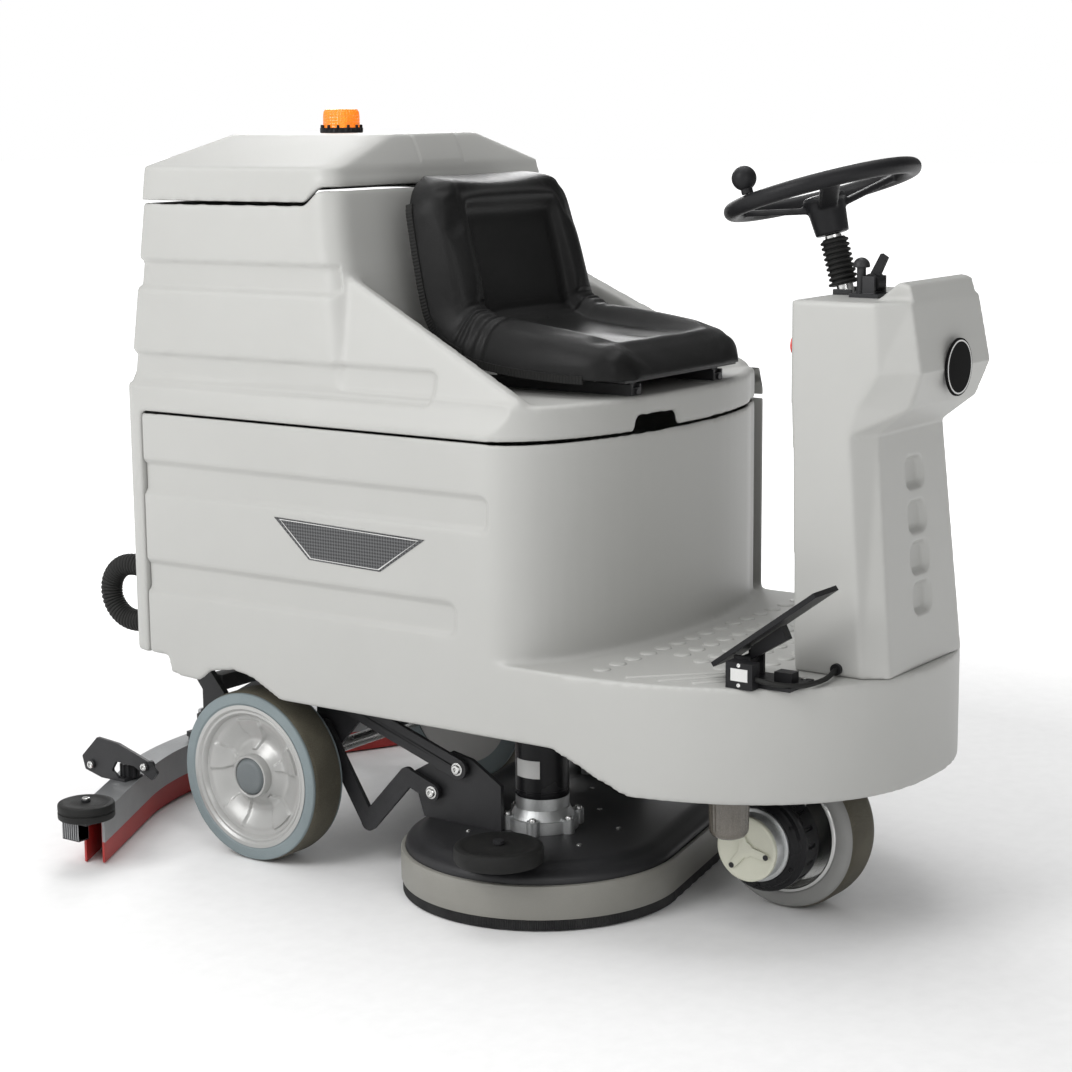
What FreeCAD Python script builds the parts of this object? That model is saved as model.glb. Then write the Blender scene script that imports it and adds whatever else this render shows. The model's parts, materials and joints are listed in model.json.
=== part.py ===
import FreeCAD, Part
import math
import os

V = FreeCAD.Vector

# ---------------------------------------------------------------- driving dimensions, in mm
# The machine is laid out from its rear axle: y = 0 at the axle and forward is negative.
# save() moves every piece by AXLE_Y, so that the origin is on the floor under the middle.
AXLE_Y = 367.0

WALL = 8.0                    # rotomoulded wall
BODY_HALF = 371.0             # half width of the body
SKIRT_SHOULDER = -632.0       # where the bumper nose starts
SKIRT_REACH = 499.0
SKIRT_POWER = 2.3
FOOT_SHOULDER = -537.0        # where the tank's rounded front starts
FOOT_REACH = 148.0
FOOT_POWER = 2.05
BODY_REAR = 196.0             # rear wall of the lower tank
COVER_REAR = 246.0            # rear face of the rear cover
COLUMN_FLAT = 326.0           # half width of the rear column's flat back
CORNER = 45.0
SKIRT_BOTTOM = 246.0
PLATFORM_Z = 430.0
TUB_FLOOR = 340.0
SEAM_Z = 776.0
DECK_Z = 834.0
LID_SEAM_Z = 1133.0
LID_EDGE_Z = 1192.0
LID_TOP_Z = 1244.0

WHEEL_R = 150.0
WHEEL_WIDTH = 78.0
WHEEL_OUTER_X = 338.0
HUB_R = 128.0
AXLE_R = 12.5
RUNNING = 0.05                # radial clearance of a running fit

DRIVE_Y = -887.0              # front drive wheel
DRIVE_R = 130.0
DRIVE_HALF = 46.0
DRIVE_HUB_R = 104.0

BRUSH_R = 172.0
SKIRT_R = 238.0               # each lobe of the brush deck
BRUSHES = {"right": (-160.0, -497.0), "left": (187.0, -421.0)}
BRUSH_MOTOR_R = 45.0
BAND_BOTTOM = 20.0
BAND_TOP = 76.0
COVER_TOP = 104.0

LINK_X = 240.0                # mid plane of the lift links
LINK_T = 8.0
UPPER_CHASSIS = (-147.0, 280.0)
UPPER_DECK = (-382.0, 202.0)
LOWER_CHASSIS = (-92.0, 231.0)
LOWER_DECK = (-327.0, 153.0)
PIN_R = 7.0

SQUEEGEE_APEX = 415.0         # rearmost point of the blade curve
SQUEEGEE_R = 603.0            # radius of its middle
SQUEEGEE_SLOPE = 0.53         # slope of its wings
SQUEEGEE_HALF = 515.0
SWIVEL_Y = 352.0
ARM_PIVOT = (150.0, 252.0)

COLUMN_BASE = V(0, -972, 988)
COLUMN_TILT = 16.0            # degrees towards the driver
COLUMN_LENGTH = 176.0         # pivot to the rim's plane
RIM_R = 143.0
RIM_TUBE = 13.0
SPINDLE_R = 8.0
SPOKE_TURNS = (95, 215, 335)  # degrees round the column, from the right-hand side

DRAIN_X = -305.0
DRAIN_R = 19.5
DRAIN_ROUTE = [
    (COVER_REAR + 12, 487.0), (COVER_REAR + 44, 491.0), (COVER_REAR + 80, 482.0), (COVER_REAR + 103, 454.0),
    (COVER_REAR + 102, 418.0), (COVER_REAR + 77, 392.0), (COVER_REAR + 42, 385.0), (COVER_REAR + 12, 390.0),
]

LID_HINGE = (236.0, 1146.0)   # (y, z) of each cross pin
TANK_HINGE = (222.0, 336.0)
FILTER_AT = (-218.0, -893.0)
SHAFT_Y = -1012.0             # upright steering shaft
LEVER_AT = (-46.0, -1040.0)
STOP_AT = (-86.0, 925.0)      # (x, z) on the control panel
KEY_AT = (80.0, 925.0)
PANEL_Y = -955.0

DECK_ROLLERS = {"right": (-374.0, -563.0), "left": (404.0, -485.0)}
DECK_ROLLER_R = 72.0
SQUEEGEE_ROLLERS = {"right": (-535.0, 196.0), "left": (535.0, 196.0)}
SQUEEGEE_ROLLER_R = 49.0
KNOB_AT = (330.0, 296.0)      # (x, y) of the adjuster on each wing

PEDAL_X = (-278.0, -204.0)
PEDAL_PIVOT = (-940.0, 462.0)
PEDAL_LENGTH = 216.0
CABLE_R = 4.0
CABLE_END = (-157.0, -1042.0, 442.0)

SEAT_HALF = 213.0
RAIL_X = 125.0
SIDES = (("right", -1.0), ("left", 1.0))


# ---------------------------------------------------------------- helpers
def save(node, shape):
    """Writes one node, moved into the row frame."""
    moved = shape.copy()
    moved.translate(V(0, AXLE_Y, 0))
    moved.exportStep("parts/" + node + ".step")


def box(x0, x1, y0, y1, z0, z1):
    return Part.makeBox(x1 - x0, y1 - y0, z1 - z0, V(x0, y0, z0))


def rod(start, end, radius):
    """A round bar from one point to another."""
    along = end - start
    return Part.makeCylinder(radius, along.Length, start, along)


def pipe(start, end, outer, inner):
    return rod(start, end, outer).cut(rod(start, end, inner))


def cone(start, end, first, last):
    along = end - start
    return Part.makeCone(first, last, along.Length, start, along)


def fused(shapes):
    whole = shapes[0].fuse(list(shapes[1:])) if len(shapes) > 1 else shapes[0]
    return whole.removeSplitter()


def group(shapes):
    """Separate solids that share one node."""
    return Part.makeCompound(list(shapes))


def mirrored(shape):
    return shape.mirror(V(0, 0, 0), V(1, 0, 0))


def both_sides(shape):
    return [shape, mirrored(shape)]


def rounded_wire(corners, radius):
    """A closed wire through the corners, each one rounded by a tangent arc."""
    count = len(corners)
    radii = radius if isinstance(radius, list) else [radius] * count
    ends = []
    for i, corner in enumerate(corners):
        before = (corners[i - 1] - corner).normalize()
        after = (corners[(i + 1) % count] - corner).normalize()
        half = before.getAngle(after) / 2
        reach = radii[i] / math.tan(half)
        inward = (before + after).normalize()
        middle = corner + inward * (radii[i] / math.sin(half) - radii[i])
        ends.append((corner + before * reach, middle, corner + after * reach))
    edges = []
    for i, (start, middle, stop) in enumerate(ends):
        if radii[i] > 0:
            edges.append(Part.Arc(start, middle, stop).toShape())
        following = ends[(i + 1) % count][0]
        if stop.distanceToPoint(following) > 1e-6:
            edges.append(Part.LineSegment(stop, following).toShape())
    return Part.Wire(edges)


def plan_wire(points, z, radius=0.0):
    return rounded_wire([V(x, y, z) for x, y in points], radius)


def prism(points, z0, z1, radius=0.0):
    """A plan outline, raised from z0 to z1."""
    return Part.Face(plan_wire(points, z0, radius)).extrude(V(0, 0, z1 - z0))


def side_prism(points, x0, x1, radius=0.0):
    """An outline of (y, z) points, drawn across from x0 to x1."""
    wire = rounded_wire([V(x0, y, z) for y, z in points], radius)
    return Part.Face(wire).extrude(V(x1 - x0, 0, 0))


def front_prism(points, y0, y1, radius=0.0):
    """An outline of (x, z) points, drawn back from y0 to y1."""
    wire = rounded_wire([V(x, y0, z) for x, z in points], radius)
    return Part.Face(wire).extrude(V(0, y1 - y0, 0))


def nosed_wire(half, rear, shoulder, reach, power, z, corner=CORNER):
    """Plan outline with straight sides, rounded rear corners and a superelliptic nose."""
    steps = 16
    nose = []
    for i in range(steps + 1):
        turn = math.pi * i / steps
        across = math.copysign(abs(math.cos(turn)) ** (2 / power), math.cos(turn))
        nose.append(V(-half * across, shoulder - reach * math.sin(turn) ** (2 / power), z))
    nose[-1] = V(half, shoulder, z)
    curve = Part.BSplineCurve()
    curve.interpolate(Points=nose, InitialTangent=V(0, -1, 0), FinalTangent=V(0, 1, 0))
    diagonal = corner * (1 - math.sqrt(0.5))
    edges = [curve.toShape()]
    edges.append(Part.LineSegment(V(half, shoulder, z), V(half, rear - corner, z)).toShape())
    edges.append(
        Part.Arc(
            V(half, rear - corner, z), V(half - diagonal, rear - diagonal, z), V(half - corner, rear, z)
        ).toShape()
    )
    edges.append(Part.LineSegment(V(half - corner, rear, z), V(corner - half, rear, z)).toShape())
    edges.append(
        Part.Arc(
            V(corner - half, rear, z), V(diagonal - half, rear - diagonal, z), V(-half, rear - corner, z)
        ).toShape()
    )
    edges.append(Part.LineSegment(V(-half, rear - corner, z), V(-half, shoulder, z)).toShape())
    return Part.Wire(edges)


def skirt_solid(inset, rear, z0, z1):
    """The bumper's plan shape, raised from z0 to z1."""
    reach = SKIRT_REACH - inset
    wire = nosed_wire(BODY_HALF - inset, rear, SKIRT_SHOULDER, reach, SKIRT_POWER, z0, CORNER - inset)
    return Part.Face(wire).extrude(V(0, 0, z1 - z0))


def tank_solid(inset, rear, z0, z1):
    """The tank's plan shape with its rounded front, raised from z0 to z1."""
    reach = FOOT_REACH - inset
    wire = nosed_wire(BODY_HALF - inset, rear, FOOT_SHOULDER, reach, FOOT_POWER, z0, CORNER - inset)
    return Part.Face(wire).extrude(V(0, 0, z1 - z0))


def quad_wire(rear_half, rear, front_half, front, z, inset, corner):
    """A plan outline that narrows towards its front, with rounded corners."""
    corners = [
        V(rear_half - inset, rear - inset, z),
        V(inset - rear_half, rear - inset, z),
        V(inset - front_half, front + inset, z),
        V(front_half - inset, front + inset, z),
    ]
    return rounded_wire(corners, corner - inset / 2)


# ---------------------------------------------------------------- body shells
def lower_body():
    """Solution tank, foot platform and front bumper, one hollow moulding open underneath."""
    skirt = skirt_solid(0, BODY_REAR, SKIRT_BOTTOM, PLATFORM_Z)
    skirt = skirt.cut(skirt_solid(WALL, BODY_REAR - WALL, SKIRT_BOTTOM - 50, PLATFORM_Z - WALL))
    well = tank_solid(WALL, BODY_REAR - WALL, TUB_FLOOR + WALL, SEAM_Z + 50)
    tub = tank_solid(0, BODY_REAR, TUB_FLOOR, SEAM_Z).cut(well)
    below_edge = [
        (300, 150), (300, 352), (150, 352), (145, 322), (80, 315), (50, 338), (0, 346),
        (-45, 338), (-110, 306), (-662, 308), (-790, 250), (-1200, 246), (-1200, 150),
    ]
    shell = skirt.cut(well).fuse(tub).cut(side_prism(below_edge, -400, 400))
    raised_floor = tank_solid(WALL / 2, BODY_REAR - WALL / 2, 352, 352 + WALL)
    raised_floor = raised_floor.common(box(-400, 400, 140, 200, 300, 400))
    shaft_hole = rod(V(0, SHAFT_Y, 400), V(0, SHAFT_Y, 450), 16)
    return shell.fuse(raised_floor).cut(shaft_hole).removeSplitter()


def rear_column():
    """Rear of the upper tank: a hollow column down the machine's back, built up from flat walls."""
    bottom = 352.0
    top = SEAM_Z + 1
    outer = tank_solid(0, COVER_REAR, bottom, top)
    front_wall = outer.common(box(-400, 400, BODY_REAR, BODY_REAR + 6, 300, 800))
    shell = outer.cut(tank_solid(WALL, COVER_REAR - WALL, bottom + WALL, top + WALL))
    shell = shell.common(box(-400, 400, BODY_REAR + 6, 400, 300, 800))
    floor = shell.common(box(-400, 400, BODY_REAR, 400, bottom, bottom + WALL))
    walls = shell.cut(floor)
    side = walls.common(box(COLUMN_FLAT, 400, BODY_REAR, 400, 300, 800))
    back = walls.common(box(-COLUMN_FLAT, COLUMN_FLAT, BODY_REAR, 400, 300, 800))
    inlet = rod(V(60, COVER_REAR - 4, 560), V(60, COVER_REAR + 34, 560), 27)
    ports = (DRAIN_ROUTE[0][1], DRAIN_ROUTE[-1][1])
    collars = [rod(V(DRAIN_X, COVER_REAR - 4, z), V(DRAIN_X, COVER_REAR + 12, z), 27) for z in ports]
    bore = rod(V(60, COVER_REAR - 20, 560), V(60, COVER_REAR + 60, 560), 21)
    back = fused([back, inlet] + collars).cut(bore)
    return group([back, front_wall, floor] + both_sides(side))


def recovery_tank():
    """Upper moulding: seat deck, hopper and the two sloping fenders beside the seat."""
    deck = tank_solid(0, COVER_REAR, SEAM_Z + 1, DECK_Z)
    deck = deck.cut(tank_solid(WALL, COVER_REAR - WALL, SEAM_Z - 20, DECK_Z - WALL))
    notch = front_prism([(-150, 770), (-30, 770), (-42, 801), (-138, 801)], -760, -640)
    deck = deck.cut(notch)
    rear_low = COVER_REAR - 2
    rear_high = COVER_REAR - 24

    def hopper(inset, z0, z1):
        low = quad_wire(367, rear_low, 352, -264, z0, inset, CORNER)
        high = quad_wire(346, rear_high, 303, -190, z1, inset, CORNER)
        return Part.makeLoft([low, high], True, True)

    outer = hopper(0, DECK_Z, LID_SEAM_Z)
    inner = hopper(WALL, DECK_Z + WALL, LID_SEAM_Z + 6)
    high = [(352, DECK_Z - 4), (297, 1024), (270, 1018), (270, DECK_Z - 4)]
    low = [(350, DECK_Z - 4), (344, DECK_Z + 8), (318, DECK_Z + 6), (318, DECK_Z - 4)]
    ends = []
    for y, corners in ((-206, high), (-590, low)):
        ends.append(rounded_wire([V(x, y, z) for x, z in corners], 0.0))
    fender = Part.makeLoft(ends, True, True)
    return fused([deck, outer] + both_sides(fender)).cut(inner)


def tank_lid():
    """Hollow lid with a hipped top and its hinge knuckles."""
    def shell(inset, drop):
        rim = quad_wire(346, COVER_REAR - 24, 303, -190, LID_SEAM_Z + 3 - drop, inset, CORNER)
        edge = quad_wire(341, COVER_REAR - 28, 298, -186, LID_EDGE_Z, inset, CORNER)
        crown = quad_wire(170, COVER_REAR - 80, 140, -164, LID_TOP_Z - inset, inset, CORNER)
        return Part.makeLoft([rim, edge], True, True).fuse(Part.makeLoft([edge, crown], True, True))

    y, z = LID_HINGE
    lid = shell(0, 0).cut(shell(6, 20))
    knuckles = []
    for x in (-75, 45):
        knuckles.append(rod(V(x, y, z), V(x + 30, y, z), 9))
        knuckles.append(box(x, x + 30, COVER_REAR - 34, y, z + 1, z + 9))
    bore = rod(V(-120, y, z), V(120, y, z), 4 + RUNNING)
    return fused([lid] + knuckles).cut(bore)


def upper_tank_hinges():
    """The lid's pin on the hopper, and the barrels under the column that turn on the frame's pin."""
    y, z = LID_HINGE
    pin = rod(V(-90, y, z), V(90, y, z), 4)
    blocks = [box(x, x + 14, COVER_REAR - 21.8, y + 8, z - 42, z + 8) for x in (-92, 78)]
    return group([fused([pin] + blocks)] + tank_hinge_barrels())


def tank_hinge():
    """Pin and brackets at the frame's rear, about which the whole upper tank tips back."""
    y, z = TANK_HINGE
    pin = rod(V(-246, y, z), V(246, y, z), 6)
    plates = []
    for x in (-248, 236):
        plates.append(side_prism([(136, 202), (136, 262), (y - 14, z + 8), (y + 14, z + 8), (y + 14, z - 14),
                                  (188, 262), (188, 202)], x, x + 12))
    bars = [box(x0, x1, 150, 180, 262, 290) for x0, x1 in ((-236, -100), (100, 236))]
    return fused([pin] + plates + bars)


def tank_hinge_barrels():
    y, z = TANK_HINGE
    barrels = []
    for x in (-225, 185):
        barrel = rod(V(x, y, z), V(x + 40, y, z), 12)
        leaf = box(x, x + 40, y - 12, y + 12, z, 352)
        bore = rod(V(x - 5, y, z), V(x + 45, y, z), 6 + RUNNING)
        barrels.append(barrel.fuse(leaf).cut(bore))
    return barrels


def badges():
    """Plain trapezoid plates on the lower tank's sides and a round one on the console."""
    outline = [(-106, 622), (-422, 614), (-330, 553), (-180, 557)]
    plate = side_prism(outline, BODY_HALF, BODY_HALF + 1.5, 4.0)
    emblem = rod(V(0, -1158, 896), V(0, -1163, 896), 44)
    return group(both_sides(plate) + [emblem])


def console():
    """Steering console, a hollow faceted column with a projecting head."""
    sections = [
        (PLATFORM_Z, 150, -966, -1082, 122, -1118),
        (800.0, 150, -958, -1055, 108, -1084),
        (842.0, 150, PANEL_Y, -1066, 112, -1138),
        (896.0, 150, PANEL_Y, -1102, 118, -1158),
        (1000.0, 150, PANEL_Y, -1094, 114, -1138),
    ]

    def outline(section, inset):
        z, half, rear, side, front_half, front = section
        corners = [
            V(half - inset, rear - inset, z), V(inset - half, rear - inset, z), V(inset - half, side, z),
            V(inset - front_half, front + inset, z), V(front_half - inset, front + inset, z),
            V(half - inset, side, z),
        ]
        return rounded_wire(corners, 0.0)

    wall = 6
    outer = Part.makeLoft([outline(s, 0) for s in sections], True, True)
    inner = Part.makeLoft([outline(s, wall) for s in sections], True, True)
    inner.translate(V(0, 0, -wall))
    slot = box(-34, 34, -1010, -940, 966, 1010)
    brow = side_prism([(-1070, 1000), (-1138, 1000), (-1130, 1024), (-1112, 1029)], -106, 106)
    holes = [rod(V(x, PANEL_Y - 30, z), V(x, PANEL_Y + 30, z), 14) for x, z in (STOP_AT, KEY_AT)]
    return outer.cut(inner).fuse(brow).cut(fused([slot] + holes)).removeSplitter()


def control_panel():
    """Instrument plate on the driver's side of the console."""
    plate = box(-112, 112, PANEL_Y, PANEL_Y + 8, 858, 962)
    display = box(-40, 40, PANEL_Y + 8, PANEL_Y + 11, 905, 950)
    holes = []
    for (x, z), radius in ((STOP_AT, 9.05), (KEY_AT, 7.05)):
        holes.append(rod(V(x, PANEL_Y - 20, z), V(x, PANEL_Y + 20, z), radius))
    return plate.fuse(display).cut(group(holes))


# ---------------------------------------------------------------- chassis
def chassis_frame():
    """Rails and cross members with the steering head, axle, link and squeegee brackets."""
    top = TUB_FLOOR - 2
    rails = both_sides(box(62, 100, -1000, 185, 304, top))
    crosses = [box(-250, 250, -160, -70, 306, top), box(-240, 240, -30, 60, 306, top)]
    crosses.append(box(-100, 100, 110, 185, 304, top))
    head = rod(V(0, DRIVE_Y, 292), V(0, DRIVE_Y, top), 70)
    head_plate = box(-100, 100, -960, -815, 318, top)
    hangers = both_sides(
        side_prism([(-172, 320), (-172, 262), (-120, 205), (-66, 205), (-66, 320)], 222, 230)
    )
    axle_plates = both_sides(side_prism([(-34, 320), (-24, 128), (24, 128), (34, 320)], 210, 219))
    y, z = ARM_PIVOT
    arm_plates = both_sides(side_prism([(122, 320), (128, 232), (172, 232), (185, 320)], 82, 92))
    arm_pin = rod(V(-92, y, z), V(92, y, z), 8)
    link_pins = []
    for y, z in (UPPER_CHASSIS, LOWER_CHASSIS):
        link_pins += both_sides(rod(V(216, y, z), V(246, y, z), PIN_R))
    stem_bore = rod(V(0, DRIVE_Y, 280), V(0, DRIVE_Y, 350), 20 + RUNNING)
    axle_bore = rod(V(-300, 0, WHEEL_R), V(300, 0, WHEEL_R), AXLE_R)
    parts = rails + crosses + [head, head_plate, arm_pin] + hangers + axle_plates + arm_plates + link_pins
    return fused(parts).cut(stem_bore).cut(axle_bore)


def rear_axle():
    """Fixed axle; the wheels run on it and a collar holds each one."""
    shaft = rod(V(-336, 0, WHEEL_R), V(336, 0, WHEEL_R), AXLE_R)
    collars = [rod(V(s * 232, 0, WHEEL_R), V(s * 252, 0, WHEEL_R), 20) for _, s in SIDES]
    return fused([shaft] + collars)


def wheel_tyre(side):
    inner = side * (WHEEL_OUTER_X - WHEEL_WIDTH)
    outer = side * WHEEL_OUTER_X
    ring = pipe(V(inner, 0, WHEEL_R), V(outer, 0, WHEEL_R), WHEEL_R, HUB_R)
    rims = [e for e in ring.Edges if abs(e.BoundBox.ZLength - 2 * WHEEL_R) < 1 and e.Length > 900]
    return ring.makeFillet(6.0, rims)


def wheel_hub(side):
    """Moulded wheel body with a dished face, and its press-on cap."""
    outer = side * (WHEEL_OUTER_X - 3)
    inner = side * (WHEEL_OUTER_X - WHEEL_WIDTH + 3)
    rim = pipe(V(inner, 0, WHEEL_R), V(outer, 0, WHEEL_R), HUB_R, HUB_R - 10)
    dish = cone(V(side * 296, 0, WHEEL_R), V(side * 326, 0, WHEEL_R), HUB_R - 5, 46)
    dish = dish.cut(cone(V(side * 284, 0, WHEEL_R), V(side * 316, 0, WHEEL_R), HUB_R - 5, 42))
    boss = rod(V(side * 264, 0, WHEEL_R), V(side * 329, 0, WHEEL_R), 34)
    bore = rod(V(side * 200, 0, WHEEL_R), V(side * 400, 0, WHEEL_R), AXLE_R + RUNNING)
    cap = rod(V(side * 329, 0, WHEEL_R), V(side * 341, 0, WHEEL_R), 27)
    axle_room = rod(V(side * 320, 0, WHEEL_R), V(side * 337, 0, WHEEL_R), AXLE_R + 1)
    return group([fused([rim, dish, boss]).cut(bore), cap.cut(axle_room)])


# ---------------------------------------------------------------- front drive unit
def drive_fork():
    """Steering stem with its sprocket, top plate and two cheek plates."""
    stem = rod(V(0, DRIVE_Y, 272), V(0, DRIVE_Y, 372), 20)
    sprocket = rod(V(0, DRIVE_Y, 346), V(0, DRIVE_Y, 356), 62)
    top = rod(V(0, DRIVE_Y, 274), V(0, DRIVE_Y, 290), 72)
    cheek = side_prism(
        [(DRIVE_Y - 55, 290), (DRIVE_Y - 55, 215), (DRIVE_Y - 36, 100), (DRIVE_Y + 36, 100),
         (DRIVE_Y + 55, 215), (DRIVE_Y + 55, 290)], 52, 62)
    bridge = box(-62, 62, DRIVE_Y - 55, DRIVE_Y + 55, 276, 290)
    spindle = rod(V(-62, DRIVE_Y, DRIVE_R), V(62, DRIVE_Y, DRIVE_R), 18)
    return fused([stem, sprocket, top, bridge, spindle] + both_sides(cheek))


def drive_gearbox():
    """Finned drum outside the near cheek plate."""
    drum = rod(V(-62, DRIVE_Y, DRIVE_R), V(-112, DRIVE_Y, DRIVE_R), 82)
    nose = cone(V(-112, DRIVE_Y, DRIVE_R), V(-122, DRIVE_Y, DRIVE_R), 74, 60)
    grooves = []
    for i in range(18):
        turn = 2 * math.pi * i / 18
        spot = V(-88, DRIVE_Y + 82 * math.cos(turn), DRIVE_R + 82 * math.sin(turn))
        grooves.append(box(spot.x - 14, spot.x + 14, spot.y - 2, spot.y + 2, spot.z - 2, spot.z + 2))
    return fused([drum, nose]).cut(fused(grooves))


def drive_motor():
    """Motor can, its flange and an end cap with a three-armed star."""
    can = rod(V(-122, DRIVE_Y, DRIVE_R), V(-148, DRIVE_Y, DRIVE_R), 54)
    flange = rod(V(-122, DRIVE_Y, DRIVE_R), V(-128, DRIVE_Y, DRIVE_R), 60)
    cap = rod(V(-148, DRIVE_Y, DRIVE_R), V(-155, DRIVE_Y, DRIVE_R), 52)
    star = [rod(V(-155, DRIVE_Y, DRIVE_R), V(-160, DRIVE_Y, DRIVE_R), 14)]
    for i in range(3):
        arm = box(-160, -155, DRIVE_Y, DRIVE_Y + 44, DRIVE_R - 8, DRIVE_R + 8)
        arm.rotate(V(0, DRIVE_Y, DRIVE_R), V(1, 0, 0), 70 + 120 * i)
        star.append(arm)
    return fused([can, flange, cap] + star)


def drive_tyre():
    ring = pipe(V(-DRIVE_HALF, DRIVE_Y, DRIVE_R), V(DRIVE_HALF, DRIVE_Y, DRIVE_R), DRIVE_R, DRIVE_HUB_R)
    rims = [e for e in ring.Edges if abs(e.BoundBox.ZLength - 2 * DRIVE_R) < 1 and e.Length > 780]
    return ring.makeFillet(8.0, rims)


def drive_rim():
    face = pipe(V(-44, DRIVE_Y, DRIVE_R), V(44, DRIVE_Y, DRIVE_R), DRIVE_HUB_R, 84)
    web = rod(V(-12, DRIVE_Y, DRIVE_R), V(12, DRIVE_Y, DRIVE_R), 86)
    boss = rod(V(-48, DRIVE_Y, DRIVE_R), V(48, DRIVE_Y, DRIVE_R), 34)
    bore = rod(V(-70, DRIVE_Y, DRIVE_R), V(70, DRIVE_Y, DRIVE_R), 18 + RUNNING)
    return fused([face, web, boss]).cut(bore)


def steering_shaft():
    """Upright shaft inside the console, with its small sprocket."""
    shaft = rod(V(0, SHAFT_Y, 344), V(0, SHAFT_Y, 940), 9)
    sprocket = rod(V(0, SHAFT_Y, 346), V(0, SHAFT_Y, 356), 26)
    return fused([shaft, sprocket])


# ---------------------------------------------------------------- brush deck
def lobes(radius, z0, z1):
    """The deck's plan: two discs and the strip between their common tangents."""
    (x0, y0), (x1, y1) = BRUSHES["right"], BRUSHES["left"]
    length = math.hypot(x1 - x0, y1 - y0)
    nx = -(y1 - y0) / length * radius
    ny = (x1 - x0) / length * radius
    strip = prism([(x0 + nx, y0 + ny), (x1 + nx, y1 + ny), (x1 - nx, y1 - ny), (x0 - nx, y0 - ny)], z0, z1)
    discs = [rod(V(x, y, z0), V(x, y, z1), radius) for x, y in BRUSHES.values()]
    return fused([strip] + discs)


def deck_cover():
    """Pressed cover over both brushes."""
    shoulder = 28
    outer = lobes(SKIRT_R - 8, BAND_TOP - 20, COVER_TOP - 12)
    outer = outer.fuse(lobes(SKIRT_R - shoulder, COVER_TOP - 24, COVER_TOP))
    inner = lobes(SKIRT_R - 16, BAND_TOP - 40, COVER_TOP - 18)
    inner = inner.fuse(lobes(SKIRT_R - shoulder - 8, COVER_TOP - 30, COVER_TOP - 6))
    holes = [rod(V(x, y, 40), V(x, y, 140), 15) for x, y in BRUSHES.values()]
    return outer.cut(inner).cut(group(holes)).removeSplitter()


def deck_skirt():
    """Strip round the deck's edge, and the splash skirt below it that brushes the floor."""
    strip = lobes(SKIRT_R, BAND_BOTTOM, BAND_TOP).cut(lobes(SKIRT_R - 8, BAND_BOTTOM - 5, BAND_TOP + 5))
    splash = lobes(SKIRT_R - 2, 1, BAND_BOTTOM).cut(lobes(SKIRT_R - 10, -5, BAND_BOTTOM + 5))
    return group([strip, splash])


def brush(name):
    """Disc brush: backing plate, drive dog and a ring of bristle."""
    x, y = BRUSHES[name]
    plate = rod(V(x, y, 42), V(x, y, 56), BRUSH_R)
    bristle = pipe(V(x, y, 2), V(x, y, 42), BRUSH_R - 4, 60)
    dog = rod(V(x, y, 56), V(x, y, 84), 24)
    return fused([plate, bristle, dog])


def brush_gearboxes():
    """Cast housings with ears and a flange, seated on the cover."""
    housings = []
    for x, y in BRUSHES.values():
        flange = rod(V(x, y, COVER_TOP), V(x, y, COVER_TOP + 20), 60)
        ears = []
        for i in range(6):
            turn = math.radians(60 * i + 20)
            spot = V(x + 60 * math.cos(turn), y + 60 * math.sin(turn), COVER_TOP)
            ears.append(rod(spot, spot + V(0, 0, 24), 11))
        body = cone(V(x, y, COVER_TOP + 20), V(x, y, COVER_TOP + 36), 54, 46)
        neck = rod(V(x, y, COVER_TOP + 36), V(x, y, 160), BRUSH_MOTOR_R)
        shaft = rod(V(x, y, 86), V(x, y, COVER_TOP), 12)
        housings.append(fused([flange, body, neck, shaft] + ears))
    return group(housings)


def brush_motors():
    motors = []
    for x, y in BRUSHES.values():
        can = rod(V(x, y, 160), V(x, y, 276), BRUSH_MOTOR_R)
        cap = rod(V(x, y, 276), V(x, y, 284), BRUSH_MOTOR_R - 12)
        motors.append(fused([can, cap]))
    return group(motors)


def deck_roller(name):
    x, y = DECK_ROLLERS[name]
    disc = rod(V(x, y, 110), V(x, y, 139), DECK_ROLLER_R)
    rims = [e for e in disc.Edges if e.Length > 400]
    disc = disc.makeFillet(5.0, [e for e in rims if len(e.Vertexes) == 1])
    return disc.cut(rod(V(x, y, 100), V(x, y, 150), 6 + RUNNING))


def deck_roller_pins():
    """Bracket arm and bolt of each bumper roller."""
    pins = []
    for name, (x, y) in DECK_ROLLERS.items():
        cx, cy = BRUSHES[name]
        reach = V(cx - x, cy - y, 0).normalize()
        side = V(-reach.y, reach.x, 0)
        hub = V(x, y, 0)
        foot = hub + reach * 74
        corners = [hub + side * 16, foot + side * 24, foot - side * 24, hub - side * 16]
        arm = prism([(c.x, c.y) for c in corners], COVER_TOP, COVER_TOP + 5)
        bolt = rod(V(x, y, COVER_TOP), V(x, y, 143), 6)
        head = rod(V(x, y, 140), V(x, y, 146), 9)
        pins.append(fused([arm, bolt, head]))
    return pins


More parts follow.
